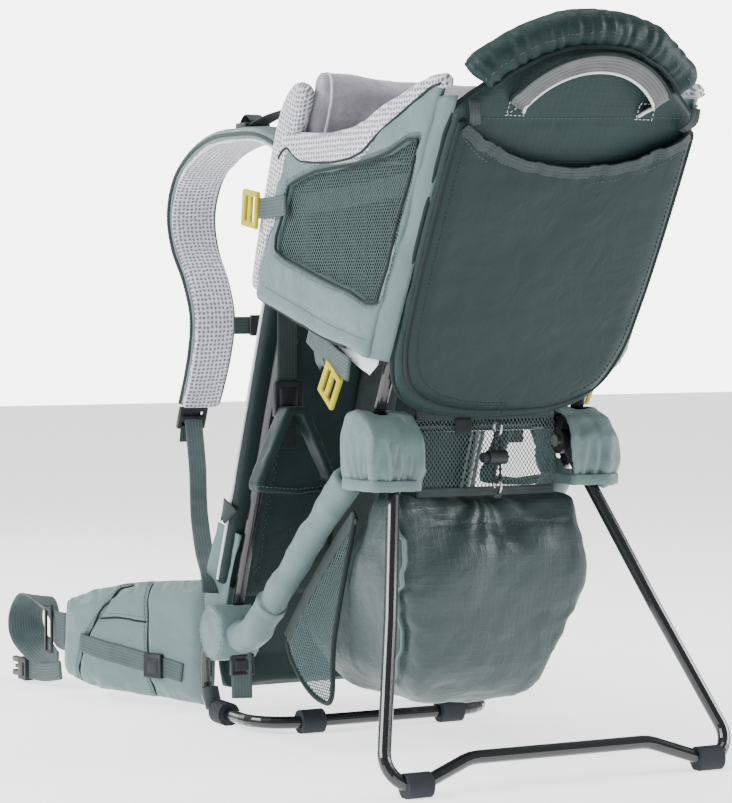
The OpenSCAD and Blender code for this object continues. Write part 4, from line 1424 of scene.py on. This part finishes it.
class CARRIER_OT_shoulder(Piece):
    """Adds the shoulder straps with their mesh lining, the chest strap, lifters and lower webbing"""
    bl_idname = "carrier.shoulder"
    bl_label = "Shoulder straps"

    def build(self):
        line = resample(smooth([mm(0, y, z) for y, z in PAD_PATH]), 0.004)
        n = len(line)

        def width(t):
            return 0.060 - 0.012 * max(0.0, (t - 0.45) / 0.55) - 0.010 * max(0.0, (0.12 - t) / 0.12)
        for side, tag in SIDES:
            body = BODY_OF[f"shoulder_strap_{tag}"]
            path, inner = [], []
            for i, p in enumerate(line):
                d = (line[min(i + 1, n - 1)] - line[max(i - 1, 0)]).normalized()
                under = d.cross(Vector((1, 0, 0)))
                sway = 0.006 * math.sin(i / n * math.pi * 1.4)
                c = p + mm(side * STRAP_X, 0, 0) + Vector((side * sway, 0, 0))
                path.append(c)
                inner.append(c + under * 0.0042)
            pad = ribbon(f"shoulder_strap_{tag}_shell", path, (1, 0, 0), width, 0.0125, "shell",
                         crown=-0.002)
            crease(pad, 0.0008, 30, (1, 1, 1), 3.0)
            add(pad, body, "spacer_mesh", f"shoulder_strap_{tag}", padded=0.75)
            lining = ribbon(f"shoulder_strap_{tag}_lining", inner, (1, 0, 0), lambda t: width(t) - 0.004,
                            0.0085, "spacer", crown=0.0015)
            crease(lining, 0.0012, 22, (1, 1, 1), 6.0)
            add(lining, body, "spacer_mesh", padded=0.8)
            for k in (-1, 1):
                edge = [p + Vector((k * width(i / (n - 1)) * 0.5, 0, 0)) for i, p in enumerate(path)]
                add(tube(f"shoulder_strap_{tag}_binding_{'in' if k * side < 0 else 'out'}", edge, WEB_THICK,
                         "strap"), body, "webbing")
            lift = smooth([mm(side * STRAP_X, y, z)
                           for y, z in ((-124, 606), (-127, 628), (-118, 645), (-92, 651),
                                                            (-40, 652), (30, 648), (88, 638))])
            lifter = ribbon(f"load_lifter_{tag}", lift, (1, 0, 0), 0.022, WEB_THICK, "strap")
            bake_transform(lifter)
            add(lifter, None, "webbing", *(["load_lifters"] if side < 0 else []))
            add(moulded_plate(f"load_lifter_{tag}_ladder", mm(side * STRAP_X, 86, 640),
                              (0.030, 0.026, 0.007)), body, "hard_plastic")
            tail = smooth([mm(side * STRAP_X, y, z)
                           for y, z in ((70, 644), (88, 652), (104, 640), (110, 622))])
            add(ribbon(f"load_lifter_tail_{tag}", tail, (1, 0, 0), 0.018, 0.0018, "strap"), body, "webbing")
            low = [(249, 316), (232, 300), (197, 262), (180, 215), (125, 178), (64, 160), (52, 140)]
            low = smooth([mm(side * (169 - 0.34 * y), y, z) for y, z in low])
            lower = ribbon(f"lower_strap_{tag}", low, (1, 0, 0.0), 0.021, WEB_THICK, "strap_light")
            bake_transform(lower)
            add(lower, None, "webbing", *(["lower_straps"] if side < 0 else []))
            anchor = smooth([mm(side * STRAP_X, y, z)
                             for y, z in ((246, 330), (252, 322), (258, 310), (262, 290))])
            add(ribbon(f"strap_anchor_{tag}", anchor, (1, 0, 0), 0.022, 0.002, "strap"), body, "webbing")
            web = [mm(side * 25, 224.3, 423), mm(side * 60, 224.3, 423), mm(side * 90, 224.3, 423)]
            add(ribbon(f"chest_strap_{tag}", web, (0, 0, 1), 0.020, WEB_THICK, "strap"),
                BODY_OF["chest_strap"], "webbing", *(["chest_strap"] if side < 0 else []))
        buckle = hard_copy("strap_buckles_moulded", "strap_buckles", "plastic", 0.0008)
        add(buckle, BODY_OF["strap_buckles"], "hard_plastic", "strap_buckles")
        buckle = hard_copy("chest_buckle_moulded", "chest_buckle", "plastic", 0.0022, 3)
        add(buckle, BODY_OF["chest_buckle"], "hard_plastic", "chest_buckle")


HIP_SEAMS = (([(206, 148), (232, 114), (262, 76), (275, 48), (282, 20)], 0.0035, 0.0042),
             ([(179, 149), (178, 90), (174, 6)], 0.003, 0.0028),
             ([(180, 97), (215, 98), (244, 96)], 0.003, 0.002))


class CARRIER_OT_hip_belt(Piece):
    """Adds the padded hip fins with their curved seams, the looped webbing, tri-glides and buckle"""
    bl_idname = "carrier.hip_belt"
    bl_label = "Hip belt"

    def build(self):
        for side, tag in SIDES:
            body = BODY_OF[f"hip_fin_{tag}"]
            fin = soft_copy(f"hip_fin_{tag}_padding", f"hip_fin_{tag}", "shell", cap=0.006, levels=1)
            creases(fin, (0.0018, 14, (1, 1, 1.4), 5.0 + side),
                    (0.0007, 42, (1, 1, 1), 2.0))
            tree = surface(fin)

            def on_fin(y, z, tree=tree, side=side):
                x = np.interp(y, [100, 140, 190, 250, 318, 335], [132, 152, 174, 202, 221, 224])
                return tree.find_nearest(mm(side * x, y, z))[0]
            paths = []
            for points, width, depth in HIP_SEAMS:
                paths.append([on_fin(y, z) for y, z in smooth_flat(points, 8)])
                groove(fin, paths[-1], width, depth)
            add(fin, body, "shell_fabric", f"hip_fin_{tag}", padded=0.8)
            tree = surface(fin)
            for k, path in enumerate(paths):
                add(piping(f"hip_fin_{tag}_seam_{k}", fin, path, "thread_dark", radius=0.0012, tree=tree),
                    body, "shell_fabric")
                off = Vector((0, 0.005, 0)) if k < 2 else Vector((0, 0, 0.005))
                add(stitches(f"hip_fin_{tag}_stitches_{k}", fin, [p + off for p in path], tree=tree), body,
                    "shell_fabric")
            run = [on_fin(y, 66 - (272 - y) * 0.14) for y in range(272, 122, -6)]
            run, _ = laid_on(tree, run, 0.0014)
            for _ in range(4):
                run = [run[0]] + [(a + b * 2 + c) / 4 for a, b, c in zip(run, run[1:], run[2:])] + [run[-1]]
            add(ribbon(f"hip_strap_{tag}", run, (0, 0, 1), 0.021, 0.002, "strap_light"), body, "webbing")
            spot = tree.find_nearest(mm(side * 168, 163, 50))[0]
            lock = moulded_plate(f"hip_strap_{tag}_ladder", spot + Vector((side * 0.003, -0.001, 0)),
                                 (0.0062, 0.026, 0.027), side * -24)
            add(lock, body, "hard_plastic")
            loop = smooth([mm(side * x, y, z) for x, y, z in (
                (212, 322, 72), (215, 352, 75), (211, 390, 95), (208, 428, 103), (207, 458, 90),
                (207, 468, 69), (208, 452, 51), (210, 415, 42), (212, 376, 37), (213, 345, 33))])
            turns = [Vector(v) for v in ((0, 0, 1), (side * 0.15, 0, 1), (side * 0.8, 0, 0.6),
                                         (side, 0, 0.25),
                                         (side, 0, 0), (side, 0, -0.1), (side, 0, -0.3),
                                         (side * 0.8, 0, -0.6), (side * 0.3, 0, -0.95), (0, 0, -1))]
            belt = ribbon(f"hip_belt_{tag}_loop", loop, turns,
                          lambda t: 0.044 - 0.016 * max(0.0, (t - 0.6) / 0.4), WEB_THICK, "strap_light")
            add(belt, body, "webbing", f"hip_webbing_{tag}")
            tail = smooth([mm(side * x, y, z)
                           for x, y, z in ((212, 338, 26), (217, 380, 19), (219.6, 424, 17))])
            add(ribbon(f"hip_belt_{tag}_tail", tail, (0, 0, 1), 0.022, WEB_THICK, "strap_light"), body,
                "webbing")
            glide = hard_copy(f"hip_triglide_{tag}_moulded", f"hip_triglide_{tag}", "plastic", 0.0007)
            add(glide, body, "steel", f"hip_triglide_{tag}")
        for node in ("hip_buckle_male", "hip_buckle_female"):
            o = hard_copy(f"{node}_moulded", node, "plastic", 0.0011, 3)
            add(o, BODY_OF[node], "hard_plastic", node)


class CARRIER_OT_storage(Piece):
    """Adds the storage bag, its side nets, the rear net panel and their trims"""
    bl_idname = "carrier.storage"
    bl_label = "Storage bag"

    def build(self):
        body = BODY_OF["storage_bag"]
        bag = soft_copy("storage_bag_cloth", "storage_bag", "bag", voxel=0.006, passes=6, cap=0.007,
                        levels=1)
        co = coordinates(bag)
        x, z = co[:, 0] / MM, co[:, 2] / MM
        rear = np.clip((-co[:, 1] / MM - 235) / 30, 0, 1)
        angle = np.arctan2(z - 275, x - 4)
        r = np.hypot(z - 275, x - 4)
        pleat = np.sin(angle * 13 + 1.6 * np.sin(angle * 3.3)) * np.exp(-(r / 62) ** 2) * rear
        long = np.sin(angle * 6 + 1.1 * np.sin(r / 45)) * np.exp(-((r - 95) / 85) ** 2) * rear
        h = 0.0019 * pleat + 0.0026 * long
        sag = 0.0022 * np.sin(x / 30 + z / 55) * rear
        set_coordinates(bag, co + normals(bag) * (h + sag)[:, None])
        creases(bag, (0.0045, 7.5, (1, 1, 1.8), 11.0),
                (0.0016, 24, (1.2, 1, 0.7), 3.0),
                (0.0005, 70, (1, 1, 1), 1.0))
        tree = surface(bag)
        seam = laid_on(tree, [mm(x, -290, 236 + 4 * math.cos(x / 40)) for x in range(-88, 89, 4)], 0)[0]
        groove(bag, seam, 0.002, 0.0014)
        left = [mm(-94, y, z) for y, z in ((-262, 258), (-276, 235), (-283, 180), (-276, 130), (-262, 90),
                                           (-240, 64))]
        left = laid_on(tree, resample(smooth(left), 0.006), 0)[0]
        groove(bag, left, 0.003, 0.002)
        add(bag, body, "shell_fabric", "storage_bag", padded=0.35)
        tree = surface(bag)
        for k, lift in enumerate((0.004, -0.004)):
            add(stitches(f"bag_top_stitches_{k}", bag, [p + Vector((0, 0, lift)) for p in seam], tree=tree),
                body, "shell_fabric")
        zip_line = laid_on(tree, [p + Vector((-0.004, 0.001, 0)) for p in left], 0.0012)[0]
        o = ribbon("bag_zip_flap", zip_line, (0.75, 0.65, 0), 0.011, 0.0018, "shell", crown=0.0006)
        add(o, body, "shell_fabric")
        add(stitches("bag_side_stitches", bag, [p + Vector((0.007, 0, 0)) for p in left], tree=tree), body,
            "shell_fabric")
        area = [(-214, 240), (-176, 120), (-164, 56), (-141, 47), (-106, 58), (-74, 84), (-66, 104)]
        for side, tag in SIDES:
            def bulge(u, v, side=side):
                swell = 3.5 * math.sin(min(max((v - 47) / 150, 0), 1) * math.pi)
                return mm(side * (114.5 + swell), u, v)
            o = net(f"side_pocket_{tag}_net", area, bulge, yarn=0.0011)
            add(o, BODY_OF[f"side_pocket_{tag}"], "net", f"side_pocket_{tag}")
            hem = [bulge(y, z) for y, z in area]
            hem = smooth(hem, 6)
            add(tube(f"side_pocket_{tag}_binding", resample(hem, 0.004), 0.0028, "piping"),
                BODY_OF[f"side_pocket_{tag}"], "net")
            edge = [bulge(y, z) for y, z in ((-66, 104), (-120, 158), (-170, 206), (-214, 240))]
            add(ribbon(f"side_pocket_{tag}_elastic", smooth(edge), (0, 0.65, 0.75), 0.014, 0.003, "strap"),
                BODY_OF[f"side_pocket_{tag}"], "net")
        panel = [(-78, 264), (78, 264), (78, 350), (-78, 350)]
        o = net("rear_panel_net", panel, lambda u, v: mm(u, -269.5 - 2 * math.cos(u / 50), v), yarn=0.0013)
        add(o, BODY_OF["rear_mesh_panel"], "net", "rear_mesh_panel")
        for k, zz in enumerate((265, 345)):
            line = [mm(x, -270.5 - 2 * math.cos(x / 50), zz) for x in range(-78, 79, 6)]
            add(ribbon(f"rear_net_binding_{k}", line, (0, 0, 1), 0.009 + 0.009 * k, 0.0026, "strap"),
                BODY_OF["rear_mesh_panel"], "net")
        label = [(-36, 322), (-18, 322), (-18, 337), (-36, 337)]
        o = pillow("blank_label", label, lambda u, v, w: mm(u, -274.5 + w, v), 0.5, -0.5, "cord", roll=0.5,
                   step=3)
        add(o, BODY_OF["rear_mesh_panel"], "cord")
        add(ribbon("drawcord_tab", [mm(4, -287.5, 259), mm(4, -289.3, 266), mm(4, -289.6, 268.6)],
                   (1, 0, 0), 0.009, 0.0012, "strap"), body, "webbing")


class CARRIER_OT_covers(Piece):
    """Adds the gathered hinge covers, the padded sleeves of the diagonals and the hub wraps"""
    bl_idname = "carrier.covers"
    bl_label = "Covers"

    def build(self):
        body = BODY_OF["hinge_covers"]
        cover = soft_copy("hinge_cover_cloth", "hinge_covers", "shell", voxel=0.0026, passes=34)
        co = coordinates(cover)
        z = co[:, 2] / MM
        low = np.exp(-((z - 276) / 12) ** 2)
        centre = np.array([0.110, -0.264])
        side = np.sign(co[:, 0])
        dx, dy = co[:, 0] - side * centre[0], co[:, 1] - centre[1]
        pull = 0.16 * low
        turn = np.arctan2(dy, dx * side)
        fold = 0.0019 * np.sin(turn * 15 + 1.1 * np.sin(turn * 4)) * np.exp(-((z - 282) / 22) ** 2)
        co[:, 0] -= dx * pull
        co[:, 1] -= dy * pull
        set_coordinates(cover, co)
        set_coordinates(cover, coordinates(cover) + normals(cover) * fold[:, None])
        creases(cover, (0.0065, 12, (1.3, 1.3, 0.7), 9.0),
                (0.0022, 26, (1.2, 1.2, 0.5), 4.0),
                (0.0008, 60, (1, 1, 0.8), 2.0))
        add(cover, body, "shell_fabric", "hinge_covers", padded=0.15)
        tree = surface(cover)
        for side, tag in SIDES:
            ring = around(lambda c, s: mm(side * HINGE_X + 40 * c, HINGE_Y + 44 * s, 279), 48, False)
            pts = laid_on(tree, ring, 0.0004)[0]
            add(stitches(f"hinge_cover_{tag}_stitches", cover, pts, tree=tree), body, "shell_fabric")
            cuff = around(lambda c, s: mm(side * HINGE_X + 40 * c, HINGE_Y + 44 * s, 272), 60)
            cuff = laid_on(tree, cuff, 0.0008)[0]
            cuff = [Vector((q.x, q.y, 0.2745 + 0.0012 * math.sin(k * 1.3))) for k, q in enumerate(cuff)]
            for _ in range(3):
                cuff = [(cuff[k - 1] + cuff[k] * 2 + cuff[(k + 1) % len(cuff)]) / 4
                        for k in range(len(cuff))]
            cuff.append(cuff[0].copy())
            o = ribbon(f"hinge_cover_{tag}_cuff", cuff, (0, 0, 1), 0.011, 0.0028, "shell", crown=0.0008)
            add(o, body, "shell_fabric")
        sleeve = soft_copy("diagonal_sleeve_cloth", "diagonal_sleeves", "shell", voxel=0.0035, passes=3)
        creases(sleeve, (0.0022, 20, (1, 0.6, 1), 6.0),
                (0.0009, 60, (1, 0.7, 1), 2.0))
        add(sleeve, BODY_OF["diagonal_sleeves"], "shell_fabric", "diagonal_sleeves", padded=0.5)
        for side, tag in SIDES:
            path = resample(smooth([mm(side * 137, 20, 98), mm(side * 137, -8, 100),
                                    mm(side * 136.5, -30, 109),
                                    mm(side * 135.5, -48, 125), mm(side * 134, -64, 141)]), 0.003)
            o = tube(f"sleeve_end_{tag}", path, 0.0168, "shell", 36)
            creases(o, (0.0020, 34, (1, 1, 1), 3.0),
                    (0.0008, 70, (1, 1, 1), 6.0))
            add(o, BODY_OF["diagonal_sleeves"], "shell_fabric", padded=0.4)
        hub = soft_copy("hub_wrap_cloth", "hub_covers", "shell", voxel=0.003, passes=8)
        creases(hub, (0.0016, 22, (1, 1, 1), 2.0),
                (0.0008, 50, (1, 1, 1), 7.0))
        for side in (-1, 1):
            ring = around(lambda c, s: mm(side * 160, HUB_Y + 24 * c, HUB_Z + 24 * s), 40)
            groove(hub, ring, 0.0022, 0.0016)
        add(hub, BODY_OF["hub_covers"], "shell_fabric", "hub_covers", padded=0.4)
        tree = surface(hub)
        for side, tag in SIDES:
            ring = around(lambda c, s: mm(side * 161, HUB_Y + 27 * c, HUB_Z + 27 * s), 60)
            add(stitches(f"hub_wrap_{tag}_stitches", hub, ring, tree=tree), BODY_OF["hub_covers"],
                "shell_fabric")


class CARRIER_PT_panel(bpy.types.Panel):
    """Lists the pieces of the carrier and its finishes"""
    bl_idname = "CARRIER_PT_panel"
    bl_label = "Baby carrier backpack"
    bl_space_type = "VIEW_3D"
    bl_region_type = "UI"
    bl_category = "Carrier"

    def draw(self, context):
        for group in (context.scene.carrier_finish, context.scene.carrier_sizes):
            box = self.layout.box()
            for key in group.bl_rna.properties.keys():
                if key not in ("rna_type", "name"):
                    box.prop(group, key)
        for cls in STEPS:
            self.layout.operator(cls.bl_idname)


STEPS = (CARRIER_OT_stage, CARRIER_OT_frame, CARRIER_OT_rear_panel, CARRIER_OT_headrest, CARRIER_OT_wings,
         CARRIER_OT_cockpit, CARRIER_OT_back_system, CARRIER_OT_shoulder, CARRIER_OT_hip_belt,
         CARRIER_OT_storage, CARRIER_OT_covers)
CLASSES = (CarrierFinish, CarrierSizes, *STEPS, CARRIER_PT_panel)


def register():
    for cls in CLASSES:
        bpy.utils.register_class(cls)
    bpy.types.Scene.carrier_finish = PointerProperty(type=CarrierFinish)
    bpy.types.Scene.carrier_sizes = PointerProperty(type=CarrierSizes)


def unregister():
    del bpy.types.Scene.carrier_sizes
    del bpy.types.Scene.carrier_finish
    for cls in reversed(CLASSES):
        bpy.utils.unregister_class(cls)


def main():
    register()
    for cls in STEPS:
        group, name = cls.bl_idname.split(".")
        getattr(getattr(bpy.ops, group), name)()
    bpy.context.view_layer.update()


if __name__ == "__main__":
    main()
